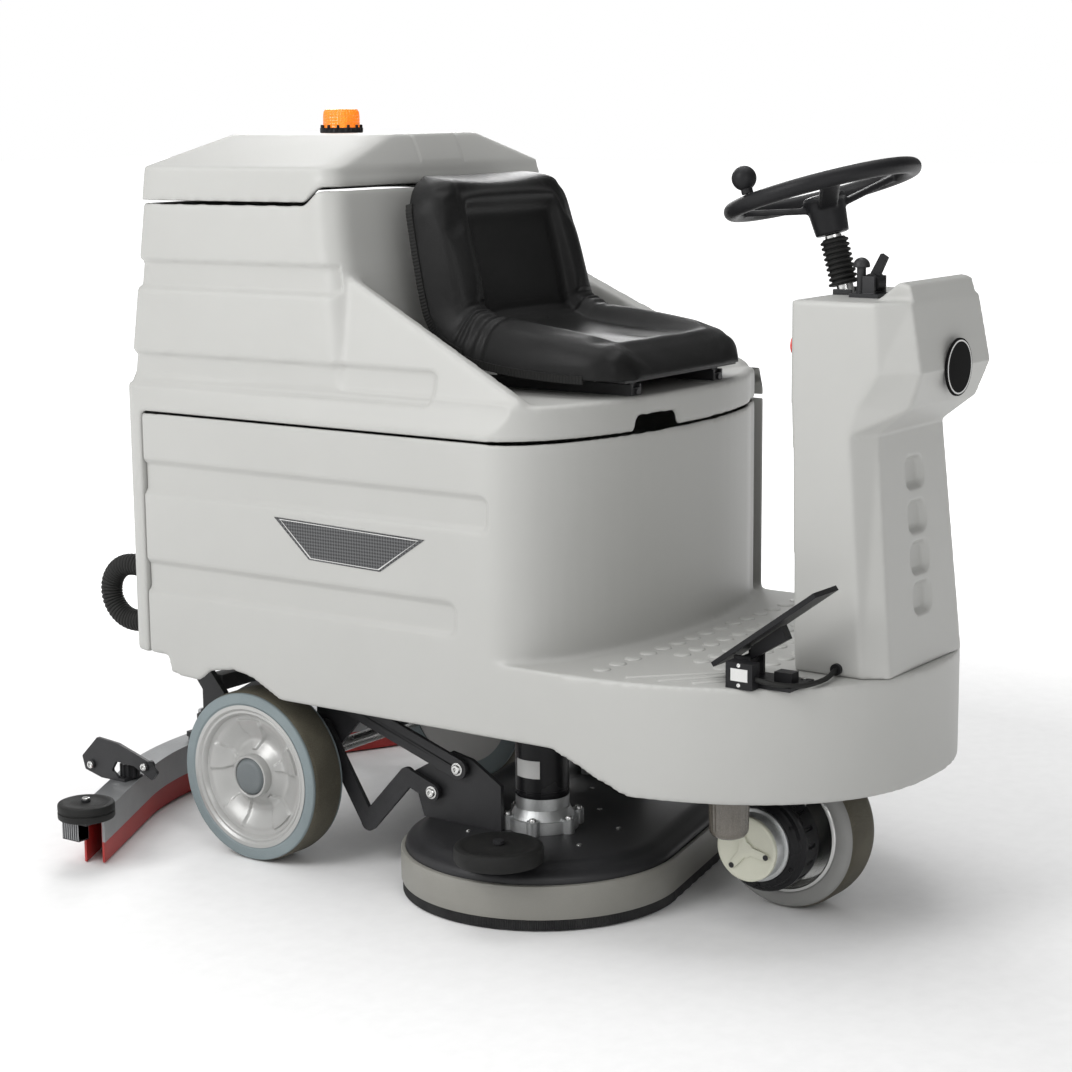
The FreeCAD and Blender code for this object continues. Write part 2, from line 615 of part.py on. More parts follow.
def deck_brackets():
    """Upright plates that carry the lift links' front pivots, and the bumper rollers' arms."""
    wide = [(-300, COVER_TOP), (-276, 178), (-360, 226), (-402, 218), (-462, 182), (-462, COVER_TOP)]
    short = [(-300, COVER_TOP), (-276, 178), (-360, 226), (-387, 222), (-389, 190), (-350, 140), (-350, COVER_TOP)]
    clearance = rod(V(-260, LOWER_DECK[0], LOWER_DECK[1]), V(260, LOWER_DECK[0], LOWER_DECK[1]), PIN_R + 3)
    near = side_prism(wide, 222, 230).cut(clearance)
    far = side_prism(short, 222, 230).cut(clearance)
    foot = box(186, 222, -422, -320, COVER_TOP, COVER_TOP + 6)
    far_foot = box(196, 222, -349, -306, COVER_TOP, COVER_TOP + 6)
    pin = rod(V(224, UPPER_DECK[0], UPPER_DECK[1]), V(246, UPPER_DECK[0], UPPER_DECK[1]), PIN_R)
    plates = [mirrored(fused([near, foot, pin])), fused([far, far_foot, pin])]
    return group(plates + deck_roller_pins())


def link_eye(pivot, radius, x0, x1):
    return rod(V(x0, pivot[0], pivot[1]), V(x1, pivot[0], pivot[1]), radius)


def straight_link(start, end, width):
    """A flat bar with round ends, in the links' plane."""
    (y0, z0), (y1, z1) = start, end
    length = math.hypot(y1 - y0, z1 - z0)
    ny = -(z1 - z0) / length * width / 2
    nz = (y1 - y0) / length * width / 2
    near = LINK_X - LINK_T / 2
    far = LINK_X + LINK_T / 2
    corners = [(y0 + ny, z0 + nz), (y1 + ny, z1 + nz), (y1 - ny, z1 - nz), (y0 - ny, z0 - nz)]
    eyes = [link_eye(end_point, width / 2, near, far) for end_point in (start, end)]
    return fused([side_prism(corners, near, far)] + eyes)


def upper_links():
    """The upper pair of lift links with the cross tube that makes them move together."""
    bar = straight_link(UPPER_CHASSIS, UPPER_DECK, 36)
    bores = [link_eye(pivot, PIN_R + RUNNING, 220, 260) for pivot in (UPPER_CHASSIS, UPPER_DECK)]
    middle_y = (UPPER_CHASSIS[0] * 2 + UPPER_DECK[0]) / 3
    middle_z = (UPPER_CHASSIS[1] * 2 + UPPER_DECK[1]) / 3
    tube = rod(V(-238, middle_y, middle_z), V(238, middle_y, middle_z), 11)
    return fused(both_sides(bar.cut(group(bores))) + [tube])


def lower_links():
    """Lower lift links, each with its loose-fitting front pin: cranked right, straight left."""
    knee = (-188.0, 78.0)
    crest = (-274.0, 172.0)
    cranked = [
        straight_link(LOWER_CHASSIS, knee, 30),
        straight_link(knee, crest, 32),
        straight_link(crest, LOWER_DECK, 30),
    ]
    straight = [straight_link(LOWER_CHASSIS, LOWER_DECK, 30)]
    bore = link_eye(LOWER_CHASSIS, PIN_R + RUNNING, 220, 260)
    pin = link_eye(LOWER_DECK, PIN_R, 216, 246)
    right, left = [fused(bars).cut(bore).fuse(pin) for bars in (cranked, straight)]
    return group([mirrored(right), left])


def lift_actuators():
    """Electric lift motors of the brush deck and of the squeegee, under the frame."""
    deck = box(-28, 28, -128, -20, 262, 306).fuse(rod(V(0, -128, 282), V(0, -196, 282), 9))
    squeegee = box(-26, 26, 10, 60, 262, 306).fuse(rod(V(0, 60, 284), V(0, 126, 284), 9))
    return group([deck, squeegee])


# ---------------------------------------------------------------- squeegee
def squeegee_edge(offset, z):
    """Wing tip, wing root and middle of the squeegee's curve, moved forwards by offset."""
    lean = math.atan(SQUEEGEE_SLOPE)
    centre = V(0, SQUEEGEE_APEX - SQUEEGEE_R, z)
    radius = SQUEEGEE_R - offset
    tangent = V(radius * math.sin(lean), centre.y + radius * math.cos(lean), z)
    wing = (SQUEEGEE_HALF - tangent.x) / math.cos(lean)
    tip = V(tangent.x + wing * math.cos(lean), tangent.y - wing * math.sin(lean), z)
    return tip, tangent, V(0, centre.y + radius, z)


def squeegee_band(front, rear, z0, z1, trim=0.0):
    """A curved strip between two offsets of the squeegee's curve."""
    f_tip, f_root, f_mid = squeegee_edge(front, z0)
    r_tip, r_root, r_mid = squeegee_edge(rear, z0)

    def flip(point):
        return V(-point.x, point.y, point.z)

    edges = [
        Part.LineSegment(f_tip, f_root).toShape(),
        Part.Arc(f_root, f_mid, flip(f_root)).toShape(),
        Part.LineSegment(flip(f_root), flip(f_tip)).toShape(),
        Part.LineSegment(flip(f_tip), flip(r_tip)).toShape(),
        Part.LineSegment(flip(r_tip), flip(r_root)).toShape(),
        Part.Arc(flip(r_root), r_mid, r_root).toShape(),
        Part.LineSegment(r_root, r_tip).toShape(),
        Part.LineSegment(r_tip, f_tip).toShape(),
    ]
    band = Part.Face(Part.Wire(edges)).extrude(V(0, 0, z1 - z0))
    if trim:
        band = band.common(box(trim - SQUEEGEE_HALF, SQUEEGEE_HALF - trim, -100, 600, -10, 300))
    return band


def squeegee_body():
    """Curved aluminium channel, open below, with the suction spigot on top."""
    top = squeegee_band(38, -14, 92, 98, 34)
    front = squeegee_band(38, 32, 44, 92, 8)
    rear = squeegee_band(-8, -14, 44, 92, 8)
    spigot = rod(V(0, SQUEEGEE_APEX - 12, 96), V(0, SQUEEGEE_APEX - 12, 140), 26)
    bore = rod(V(0, SQUEEGEE_APEX - 12, 60), V(0, SQUEEGEE_APEX - 12, 150), 21)
    return fused([top, front, rear, spigot]).cut(bore)


def squeegee_blades():
    """Slotted front blade and full rear blade."""
    return group([squeegee_band(32, 27, 3, 90, 16), squeegee_band(-3, -8, 1, 90, 8)])


def squeegee_roller(name):
    x, y = SQUEEGEE_ROLLERS[name]
    disc = rod(V(x, y, 94), V(x, y, 123), SQUEEGEE_ROLLER_R)
    return disc.cut(rod(V(x, y, 80), V(x, y, 130), 5 + RUNNING))


def squeegee_ends():
    """End plates with the rollers' bolts and the clamps that tension the rear blade."""
    x, y = SQUEEGEE_ROLLERS["left"]
    plate = box(507, 550, 182, 250, 84, 92)
    bolt = rod(V(x, y, 84), V(x, y, 126), 5)
    head = rod(V(x, y, 123.5), V(x, y, 127), 8)
    clamp = box(508, 531, 222, 262, 44, 84)
    return both_sides(fused([plate, bolt, head, clamp]))


def squeegee_carrier():
    """Swivel plate in the middle that the arm's head turns on."""
    plate = box(-80, 80, 326, 372, 106, 116)
    ears = both_sides(box(52, 80, 360, 394, 106, 116).fuse(box(54, 78, 376, 392, 98, 106)))
    pivot = rod(V(0, SWIVEL_Y, 106), V(0, SWIVEL_Y, 150), 12)
    return fused([plate, pivot] + ears)


def squeegee_adjusters():
    """C-shaped plate with two bolts on each wing, and the stud of its hand adjuster."""
    made = []
    x = KNOB_AT[0]
    outline = [(344, 98), (385, 108), (392, 132), (352, 172), (300, 168), (226, 146), (204, 128), (218, 112),
               (262, 132), (306, 134), (318, 116), (292, 98)]
    plate = side_prism(outline, x + 18, x + 24, 4.0)
    foot = box(x - 22, x + 18, 286, 306, 98, 103)
    foot = foot.fuse(box(x + 14, x + 24, 286, 344, 98, 103))
    stud = rod(V(x, KNOB_AT[1], 98), V(x, KNOB_AT[1], 126), 5)
    bolts = [rod(V(x + 8, y, z), V(x + 28, y, z), 8) for y, z in ((366, 120), (232, 136))]
    made += both_sides(fused([plate, foot, stud] + bolts))
    return made


def squeegee_fittings():
    return group([squeegee_carrier()] + squeegee_ends() + squeegee_adjusters())


def squeegee_knob(side):
    """Ribbed hand adjuster on its stud."""
    x = side * KNOB_AT[0]
    y = KNOB_AT[1]
    core = rod(V(x, y, 104), V(x, y, 128), 15)
    ribs = []
    for i in range(10):
        turn = math.radians(36 * i)
        spot = V(x + 15 * math.cos(turn), y + 15 * math.sin(turn), 104)
        ribs.append(rod(spot, spot + V(0, 0, 24), 3))
    return fused([core] + ribs).cut(rod(V(x, y, 100), V(x, y, 140), 5 + RUNNING))


def squeegee_arm():
    """Pair of arms from the frame to the swivel head."""
    y, z = ARM_PIVOT
    arms = both_sides(side_prism([(y - 16, z - 14), (y - 16, z + 16), (y + 20, z + 16), (SWIVEL_Y + 20, 152),
                                  (SWIVEL_Y + 20, 122), (SWIVEL_Y - 30, 122)], 66, 74))
    head = box(-74, 74, SWIVEL_Y - 22, SWIVEL_Y + 20, 124, 148)
    bore = rod(V(0, SWIVEL_Y, 110), V(0, SWIVEL_Y, 160), 12 + RUNNING)
    pivot = rod(V(-80, y, z), V(80, y, z), 8 + RUNNING)
    tube = rod(V(-74, y, z), V(74, y, z), 13)
    return fused(arms + [head, tube]).cut(bore).cut(pivot)


# ---------------------------------------------------------------- hose, filter, power


def route_wire(points):
    """Straight runs joined by arcs as large as the shorter run at each point allows."""
    edges = []
    start = points[0]
    for i in range(1, len(points) - 1):
        before = points[i - 1] - points[i]
        after = points[i + 1] - points[i]
        turn = math.pi - before.getAngle(after)
        reach = 0.45 * min(before.Length, after.Length)
        radius = reach / math.tan(turn / 2)
        print("arc", i, "radius", round(radius, 1), "turn", round(math.degrees(turn), 1))
        before.normalize()
        after.normalize()
        enter = points[i] + before * reach
        leave = points[i] + after * reach
        inward = (before + after).normalize()
        middle = points[i] + inward * (radius / math.cos(turn / 2) - radius)
        edges.append(Part.LineSegment(start, enter).toShape())
        edges.append(Part.Arc(enter, middle, leave).toShape())
        start = leave
    edges.append(Part.LineSegment(start, points[-1]).toShape())
    return Part.Wire(edges)


def tube_along(points, radius, name):
    """A round tube on a route; prints its length and compares its volume with section x length."""
    wire = route_wire(points)
    section = Part.Wire(Part.Circle(points[0], points[1] - points[0], radius).toShape())
    tube = wire.makePipeShell([section], True, True, 2)
    expected = math.pi * radius ** 2 * wire.Length
    print(name, "length", round(wire.Length, 1), "volume ratio", round(tube.Volume / expected, 4))
    return tube


def drain_hose():
    """Corrugated hose that loops out of the rear column and back into its holder."""
    points = [V(DRAIN_X, y, z) for y, z in DRAIN_ROUTE]
    return tube_along(points, DRAIN_R, "drain hose")


def solution_filter():
    """Filter head on its stalk and the clear bowl, hung under the platform."""
    x, y = FILTER_AT
    stalk = rod(V(x, y, 270), V(x, y, PLATFORM_Z - WALL), 12)
    head = rod(V(x, y, 236), V(x, y, 270), 36)
    bowl = rod(V(x, y, 174), V(x, y, 236), 33)
    dome = cone(V(x, y, 165), V(x, y, 174), 22, 33)
    return fused([stalk, head, bowl, dome])


def batteries():
    """Four traction batteries standing in the lower tank's well."""
    blocks = []
    for x in (-190, 10):
        for y in (-330, -140):
            case = box(x, x + 180, y, y + 170, TUB_FLOOR + WALL, 610)
            posts = [rod(V(x + 40, y + dy, 610), V(x + 40, y + dy, 622), 9) for dy in (35, 135)]
            blocks.append(fused([case] + posts))
    return group(blocks)


def vacuum_motor():
    """Suction motor on a shelf against the lower tank's rear wall."""
    can = rod(V(0, 112, 620), V(0, 112, 750), 62)
    base = rod(V(0, 112, 600), V(0, 112, 620), 70)
    foot = box(-90, 90, 36, BODY_REAR - WALL, 590, 600)
    return fused([can, base, foot])


def beacon():
    """Warning light: toothed base ring, lens and lamp."""
    ring = rod(V(0, 41, LID_TOP_Z), V(0, 41, LID_TOP_Z + 9), 38)
    teeth = []
    for i in range(18):
        turn = math.radians(20 * i)
        spot = V(35.5 * math.cos(turn), 41 + 35.5 * math.sin(turn), LID_TOP_Z + 9)
        teeth.append(rod(spot, spot + V(0, 0, 6), 2.4))
    lens = rod(V(0, 41, LID_TOP_Z + 9), V(0, 41, LID_TOP_Z + 43), 32.5)
    rims = [e for e in lens.Edges if abs(e.BoundBox.ZMin - LID_TOP_Z - 43) < 0.1 and e.Length > 100]
    lens = lens.makeFillet(8.0, rims).cut(rod(V(0, 41, LID_TOP_Z), V(0, 41, LID_TOP_Z + 38), 29))
    lamp = rod(V(0, 41, LID_TOP_Z + 9), V(0, 41, LID_TOP_Z + 20), 9)
    bulb = Part.makeSphere(9, V(0, 41, LID_TOP_Z + 24))
    return group([fused([ring] + teeth), lens, lamp.fuse(bulb)])


# ---------------------------------------------------------------- seat
def seat_pad():
    """One-piece bucket: cushion and back with raised edges, a closed soft solid."""
    outline = [
        (-690, 862), (-345, 874), (-300, 900), (-240, 1150), (-262, 1165), (-306, 1118), (-356, 972),
        (-392, 928), (-660, 922), (-692, 900),
    ]
    pad = side_prism(outline, -SEAT_HALF, SEAT_HALF, [4, 40, 30, 8, 6, 40, 60, 20, 14, 14])
    seat_hollow = box(-138, 138, -640, -352, 896, 1000)
    back_hollow = side_prism([(-330, 930), (-304, 1090), (-420, 1090), (-420, 930)], -138, 138)
    return pad.cut(seat_hollow).cut(back_hollow)


def seat_pan():
    """Steel plate under the cushion with the two runners."""
    plate = side_prism([(-670, 857), (-350, 869), (-350, 873.5), (-670, 861.5)], -170, 170)
    runners = [box(s * RAIL_X - 9, s * RAIL_X + 9, -656, -400, 846.5, 862) for _, s in SIDES]
    return fused([plate] + runners)


def seat_rails():
    """Two channels screwed to the deck, with end bolts."""
    rails = []
    for _, s in SIDES:
        x = s * RAIL_X
        rail = box(x - 14, x + 14, -662, -380, DECK_Z, DECK_Z + 12)
        lips = [box(x + d - 2, x + d + 2, -662, -380, DECK_Z + 12, DECK_Z + 18) for d in (-12, 12)]
        bolt = rod(V(x, -666, DECK_Z + 6), V(x, -662, DECK_Z + 6), 5)
        rails.append(fused([rail, bolt] + lips))
    return group(rails)


# ---------------------------------------------------------------- steering
def up_column(distance):
    """The point at a distance up the steering column's axis."""
    lean = math.radians(COLUMN_TILT)
    return COLUMN_BASE + V(0, math.sin(lean), math.cos(lean)) * distance


def steering_column():
    """Column tube with its pivot yoke; the wheel's spindle turns in its upper end."""
    y, z = COLUMN_BASE.y, COLUMN_BASE.z
    tube = rod(up_column(0), up_column(104), 13)
    yoke = rod(V(-26, y, z), V(26, y, z), 14)
    cross_bore = rod(V(-60, y, z), V(60, y, z), 6 + RUNNING)
    bearing = rod(up_column(60), up_column(110), SPINDLE_R + RUNNING)
    return fused([tube, yoke]).cut(cross_bore).cut(bearing)


def column_boot():
    """Ribbed rubber bellows round the column."""
    rings = []
    for i in range(8):
        low = up_column(26 + 9 * i)
        radius = 25 if i == 0 else 22
        rings.append(rod(low, up_column(26 + 9 * i + 5.5), radius))
        rings.append(rod(low, up_column(26 + 9 * i + 9), radius - 4))
    bore = rod(up_column(20), up_column(110), 13)
    return fused(rings).cut(bore)


def column_bracket():
    """Cheeks and cross pin in the console's top, and the lever's post beside them."""
    y, z = COLUMN_BASE.y, COLUMN_BASE.z
    cheeks = [box(x, x + 5, y - 22, y + 10, z - 22, z + 20) for x in (-33, 28)]
    pin = rod(V(-33, y, z), V(33, y, z), 6)
    floor = box(-33, 33, y - 22, y + 10, z - 26, z - 20)
    return group([fused(cheeks + [pin, floor]), lever_post()])


def steering_wheel():
    """Rim, three spokes, a deep hub and the spindle it is keyed to."""
    axis = up_column(1) - up_column(0)
    rim = Part.makeTorus(RIM_R, RIM_TUBE, up_column(COLUMN_LENGTH), axis)
    hub = cone(up_column(106), up_column(158), 26, 31)
    cap = rod(up_column(158), up_column(164), 34)
    spokes = []
    for turn in SPOKE_TURNS:
        start = up_column(138)
        spoke = Part.makeBox(RIM_R - 2, 30, 10, start + V(0, -15, 0))
        spoke.rotate(start, V(0, 1, 0), -13)
        spoke.rotate(start, V(1, 0, 0), -COLUMN_TILT)
        spoke.rotate(start, axis, turn)
        spokes.append(spoke)
    spindle = rod(up_column(62), up_column(150), SPINDLE_R)
    return fused([rim, hub, cap, spindle] + spokes)


def spinner_angle():
    """Unit vector from the wheel's centre to the spinner knob."""
    lean = math.radians(COLUMN_TILT)
    turn = math.radians(158)
    across = V(1, 0, 0) * math.cos(turn)
    back = V(0, math.cos(lean), -math.sin(lean)) * math.sin(turn)
    return across + back


def spinner_knob():
    """Ball knob on a stem, free to turn."""
    axis = up_column(1) - up_column(0)
    foot = up_column(COLUMN_LENGTH) + spinner_angle() * RIM_R + axis * (RIM_TUBE + 0.5)
    stem = rod(foot, foot + axis * 14, 9)
    return stem.fuse(Part.makeSphere(19, foot + axis * 24))


def column_lever():
    """Clamp lever beside the column: serrated block and a paddle."""
    x, y = LEVER_AT
    block = rod(V(x - 12, y, 1022), V(x + 12, y, 1022), 14)
    arm = side_prism([(y - 6, 1026), (y - 22, 1060), (y - 12, 1066), (y + 8, 1030)], x - 5, x + 5, 0.0)
    bore = rod(V(x - 30, y, 1022), V(x + 30, y, 1022), 5 + RUNNING)
    return fused([block, arm]).cut(bore)


def lever_post():
    """Upright stem with a domed cap and the lever's cross pin."""
    x, y = LEVER_AT
    foot = box(x - 26, x + 26, y - 20, y + 30, 1000, 1006)
    cheeks = [box(x + d, x + d + 5, y - 10, y + 10, 1006, 1032) for d in (-20, 15)]
    pin = rod(V(x - 20, y, 1022), V(x + 20, y, 1022), 5)
    stem = rod(V(x, y + 22, 1006), V(x, y + 22, 1046), 7)
    dome = Part.makeSphere(13, V(x, y + 22, 1046)).cut(box(x - 20, x + 20, y, y + 50, 1020, 1044))
    return fused([foot, pin, stem, dome] + cheeks)


def emergency_stop():
    """Red mushroom button; its shank slides in the panel."""
    x, z = STOP_AT
    shank = rod(V(x, PANEL_Y - 20, z), V(x, PANEL_Y + 18, z), 9)
    head = rod(V(x, PANEL_Y + 18, z), V(x, PANEL_Y + 28, z), 16)
    return fused([shank, head])


def key_switch():
    x, z = KEY_AT
    barrel = rod(V(x, PANEL_Y - 20, z), V(x, PANEL_Y + 14, z), 7)
    bow = box(x - 3, x + 3, PANEL_Y + 14, PANEL_Y + 34, z - 11, z + 11)
    return fused([barrel, bow])


# ---------------------------------------------------------------- pedal


def pedal_base():
    """Base plate with pivot ears, the sensor box and the lead's grommet on the console."""
    x0, x1 = PEDAL_X
    y, z = PEDAL_PIVOT
    plate = box(x0, x1, -1032, -928, PLATFORM_Z, PLATFORM_Z + 6)
    ears = [box(x, x + 6, -954, -928, PLATFORM_Z + 6, z + 10) for x in (x0 + 12, x1 - 18)]
    pin = rod(V(x0 + 12, y, z), V(x1 - 12, y, z), 4)
    stop = box(x0 + 26, x1 - 26, -1020, -990, PLATFORM_Z + 6, PLATFORM_Z + 22)
    sensor = box(x0 - 22, x0, -980, -934, PLATFORM_Z, z + 8)
    exit_x, exit_y, exit_z = CABLE_END
    grommet = rod(V(exit_x, exit_y, exit_z), V(-150, exit_y, exit_z), 9)
    return group([fused([plate, pin, stop, sensor] + ears), grommet])


def accelerator_pedal():
    """Foot plate on its pivot barrel."""
    x0, x1 = PEDAL_X
    y, z = PEDAL_PIVOT
    lean = math.radians(36)

    def up_slope(distance, lift):
        """A point that far along the plate's underside, and that far above it."""
        return (y + 42 - distance * math.cos(lean) + lift * math.sin(lean),
                z - 10.5 + distance * math.sin(lean) + lift * math.cos(lean))

    outline = [up_slope(0, 0), up_slope(0, 8), up_slope(PEDAL_LENGTH, 8), up_slope(PEDAL_LENGTH, 0)]
    plate = side_prism(outline, x0 + 2, x1 - 2)
    barrel = rod(V(x0 + 19, y, z), V(x1 - 19, y, z), 9)
    web = side_prism([(y - 5, z), (y - 8, z + 22), (y - 60, z + 60), (y - 70, z + 40)], x0 + 28, x1 - 28)
    bore = rod(V(x0, y, z), V(x1, y, z), 4 + RUNNING)
    return fused([plate, barrel, web]).cut(bore)


def pedal_cable():
    """Lead from the sensor to the grommet at the console's foot."""
    start_x = PEDAL_X[0] - 12
    points = [V(start_x, -980, 446), V(start_x + 2, -1010, 441), V(start_x + 28, -1040, 437),
              V(-222, -1049, 437), V(-184, -1047, 437), V(*CABLE_END)]
    return tube_along(points, CABLE_R, "pedal lead")


# ---------------------------------------------------------------- all nodes
def main():
    os.makedirs("parts", exist_ok=True)
    makers = [
        lower_body, rear_column, recovery_tank, tank_lid, upper_tank_hinges, tank_hinge, badges,
        console, control_panel, chassis_frame, rear_axle, lift_actuators, batteries, vacuum_motor,
        solution_filter, drain_hose, beacon, seat_pad, seat_pan, seat_rails, drive_fork, drive_gearbox,
        drive_motor, drive_tyre, drive_rim, steering_shaft, steering_column, column_boot, column_bracket,
        steering_wheel, spinner_knob, column_lever, emergency_stop, key_switch, pedal_base,
        accelerator_pedal, pedal_cable, deck_cover, deck_skirt, deck_brackets, brush_gearboxes,
        brush_motors, upper_links, lower_links, squeegee_body, squeegee_blades, squeegee_fittings,
        squeegee_arm,
    ]
    for maker in makers:
        save(maker.__name__, maker())
    for name, side in SIDES:
        save("wheel_tyre_" + name, wheel_tyre(side))
        save("wheel_hub_" + name, wheel_hub(side))
        save("brush_" + name, brush(name))
        save("deck_roller_" + name, deck_roller(name))
        save("squeegee_roller_" + name, squeegee_roller(name))
        save("squeegee_knob_" + name, squeegee_knob(side))


main()
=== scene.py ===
import json
import math

import bmesh
import bpy
import numpy as np
from mathutils import Matrix, Vector

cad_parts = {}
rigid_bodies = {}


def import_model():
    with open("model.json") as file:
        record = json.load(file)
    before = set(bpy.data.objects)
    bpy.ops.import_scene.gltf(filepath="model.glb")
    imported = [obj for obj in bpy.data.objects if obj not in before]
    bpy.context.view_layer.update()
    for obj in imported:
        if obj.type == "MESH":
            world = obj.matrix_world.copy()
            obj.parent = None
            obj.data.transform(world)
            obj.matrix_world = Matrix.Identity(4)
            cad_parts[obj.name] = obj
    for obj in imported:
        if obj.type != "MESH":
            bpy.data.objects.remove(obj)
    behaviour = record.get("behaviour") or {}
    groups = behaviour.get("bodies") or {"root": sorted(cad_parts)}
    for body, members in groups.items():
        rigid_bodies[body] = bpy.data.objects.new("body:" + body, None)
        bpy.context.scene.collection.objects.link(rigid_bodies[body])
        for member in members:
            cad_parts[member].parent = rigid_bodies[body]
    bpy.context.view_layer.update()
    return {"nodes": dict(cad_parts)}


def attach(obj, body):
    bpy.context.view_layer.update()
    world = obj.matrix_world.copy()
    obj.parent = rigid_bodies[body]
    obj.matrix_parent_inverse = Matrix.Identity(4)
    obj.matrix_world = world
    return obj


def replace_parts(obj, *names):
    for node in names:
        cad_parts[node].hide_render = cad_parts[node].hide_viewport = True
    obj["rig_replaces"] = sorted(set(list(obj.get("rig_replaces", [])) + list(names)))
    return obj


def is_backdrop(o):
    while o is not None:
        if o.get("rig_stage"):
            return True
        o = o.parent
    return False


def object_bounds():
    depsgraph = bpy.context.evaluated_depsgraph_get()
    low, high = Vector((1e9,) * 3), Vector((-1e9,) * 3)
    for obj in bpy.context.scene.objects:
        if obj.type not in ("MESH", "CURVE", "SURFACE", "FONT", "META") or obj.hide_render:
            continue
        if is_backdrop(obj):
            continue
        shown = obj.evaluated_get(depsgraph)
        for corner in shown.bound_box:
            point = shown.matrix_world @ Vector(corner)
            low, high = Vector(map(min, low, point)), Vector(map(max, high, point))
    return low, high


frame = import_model()
MM = 0.001
AXLE_Y = 367.0                      # the rear axle's place in the row frame, mm
SIDES = (("right", -1), ("left", 1))
UP = (0, 0, 1)


def at(x, y, z):
    """A point of the row frame, given in millimetres."""
    return Vector((x * MM, y * MM, z * MM))


def smooth(edge0, edge1, value):
    """Smooth step from 0 at edge0 to 1 at edge1, for numbers and arrays."""
    t = np.clip((np.asarray(value, float) - edge0) / (edge1 - edge0), 0.0, 1.0)
    return t * t * (3.0 - 2.0 * t)


# ---------------------------------------------------------------- materials
def feed(node, key, value):
    """Links a socket to the node's input, or sets the input or the setting with that name."""
    label = key if isinstance(key, int) else key.replace("_", " ")
    if isinstance(value, bpy.types.NodeSocket):
        node.id_data.links.new(value, node.inputs[label])
    elif isinstance(key, int) or label in node.inputs:
        node.inputs[label].default_value = value
    else:
        setattr(node, key, value)


def add(tree, kind, *values, **named):
    """A new shader node; values go to its inputs in order, and named ones by name."""
    node = tree.nodes.new("ShaderNode" + kind)
    for key, value in (*enumerate(values), *named.items()):
        feed(node, key, value)
    return node


def node_material(name):
    """An empty material, its node tree, its shader and its object coordinates."""
    material = bpy.data.materials.new(name)
    material.use_nodes = True
    tree = material.node_tree
    return material, tree, tree.nodes["Principled BSDF"], add(tree, "TexCoord").outputs["Object"]


def two_tones(tree, factor, dark, light, low=0.0, high=1.0):
    """Colour that runs from dark to light as the factor goes from low to high."""
    ramp = add(tree, "ValToRGB", factor)
    for element, place, tone in zip(ramp.color_ramp.elements, (low, high), (dark, light)):
        element.position = place
        element.color = (*tone, 1)
    return ramp.outputs[0]


def textured(tree, shader, height, strength, distance):
    """Gives the shader a fine raised texture."""
    feed(shader, "Normal", add(tree, "Bump", Height=height, Strength=strength,
                               Distance=distance).outputs[0])


GLOSS_SPREAD = 0.06


def finish_material(name, dark, light, roughness, grain=900.0, depth=0.25, patch=6.0, metallic=0.0,
                    coat=0.0, specular=0.5, cells=False, stretch=(1, 1, 1), spread=0.12):
    """Two tones mixed in patches and grain, uneven gloss and a fine raised texture."""
    material, tree, shader, place = node_material(name)
    mapped = add(tree, "Mapping", place, Scale=stretch).outputs[0]
    broad = add(tree, "TexNoise", place, Scale=patch, Detail=4.0, Roughness=0.6).outputs[0]
    fine = add(tree, "TexNoise", mapped, Scale=grain, Detail=3.0, Roughness=0.6).outputs[0]
    part = add(tree, "Math", broad, 0.55, operation="MULTIPLY").outputs[0]
    mixed = add(tree, "Math", fine, 0.45, part, operation="MULTIPLY_ADD").outputs[0]
    feed(shader, "Base_Color", two_tones(tree, mixed, dark, light, 0.5 - spread, 0.5 + spread))
    gloss = add(tree, "MapRange", broad, To_Min=max(0.02, roughness - GLOSS_SPREAD),
                To_Max=min(1.0, roughness + GLOSS_SPREAD))
    feed(shader, "Roughness", gloss.outputs[0])
    height = fine
    if cells:
        web = add(tree, "TexVoronoi", mapped, Scale=grain, feature="DISTANCE_TO_EDGE").outputs["Distance"]
        height = add(tree, "MapRange", web, From_Max=0.12).outputs[0]
    textured(tree, shader, height, depth, 0.0006)
    for key, value in (("Metallic", metallic), ("Coat_Weight", coat), ("Coat_Roughness", 0.25),
                       ("Specular_IOR_Level", specular)):
        feed(shader, key, value)
    return material


def carbon_material():
    """Woven carbon pattern: small light checks on black, set at an angle."""
    material, tree, shader, place = node_material("carbon")
    tilt = add(tree, "Mapping", place, Rotation=(math.radians(45), 0, 0)).outputs[0]
    checks = add(tree, "TexChecker", tilt, (0.012, 0.012, 0.013, 1), (0.075, 0.077, 0.08, 1), 260.0)
    feed(shader, "Base_Color", checks.outputs["Color"])
    textured(tree, shader, checks.outputs["Fac"], 0.15, 0.0003)
    feed(shader, "Roughness", 0.3)
    return material


def amber_material():
    """Ribbed amber lens."""
    material, tree, shader, place = node_material("amber")
    ribs = add(tree, "TexWave", place, Scale=60.0, Distortion=0.0, bands_direction="Z")
    textured(tree, shader, ribs.outputs["Fac"], 0.5, 0.001)
    patches = add(tree, "TexNoise", place, Scale=40.0).outputs[0]
    feed(shader, "Base_Color", two_tones(tree, patches, (0.85, 0.22, 0.01), (1.0, 0.36, 0.03)))
    for key, value in (("Roughness", 0.16), ("Transmission_Weight", 0.45),
                       ("Emission_Color", (1.0, 0.3, 0.02, 1)), ("Emission_Strength", 0.25)):
        feed(shader, key, value)
    return material


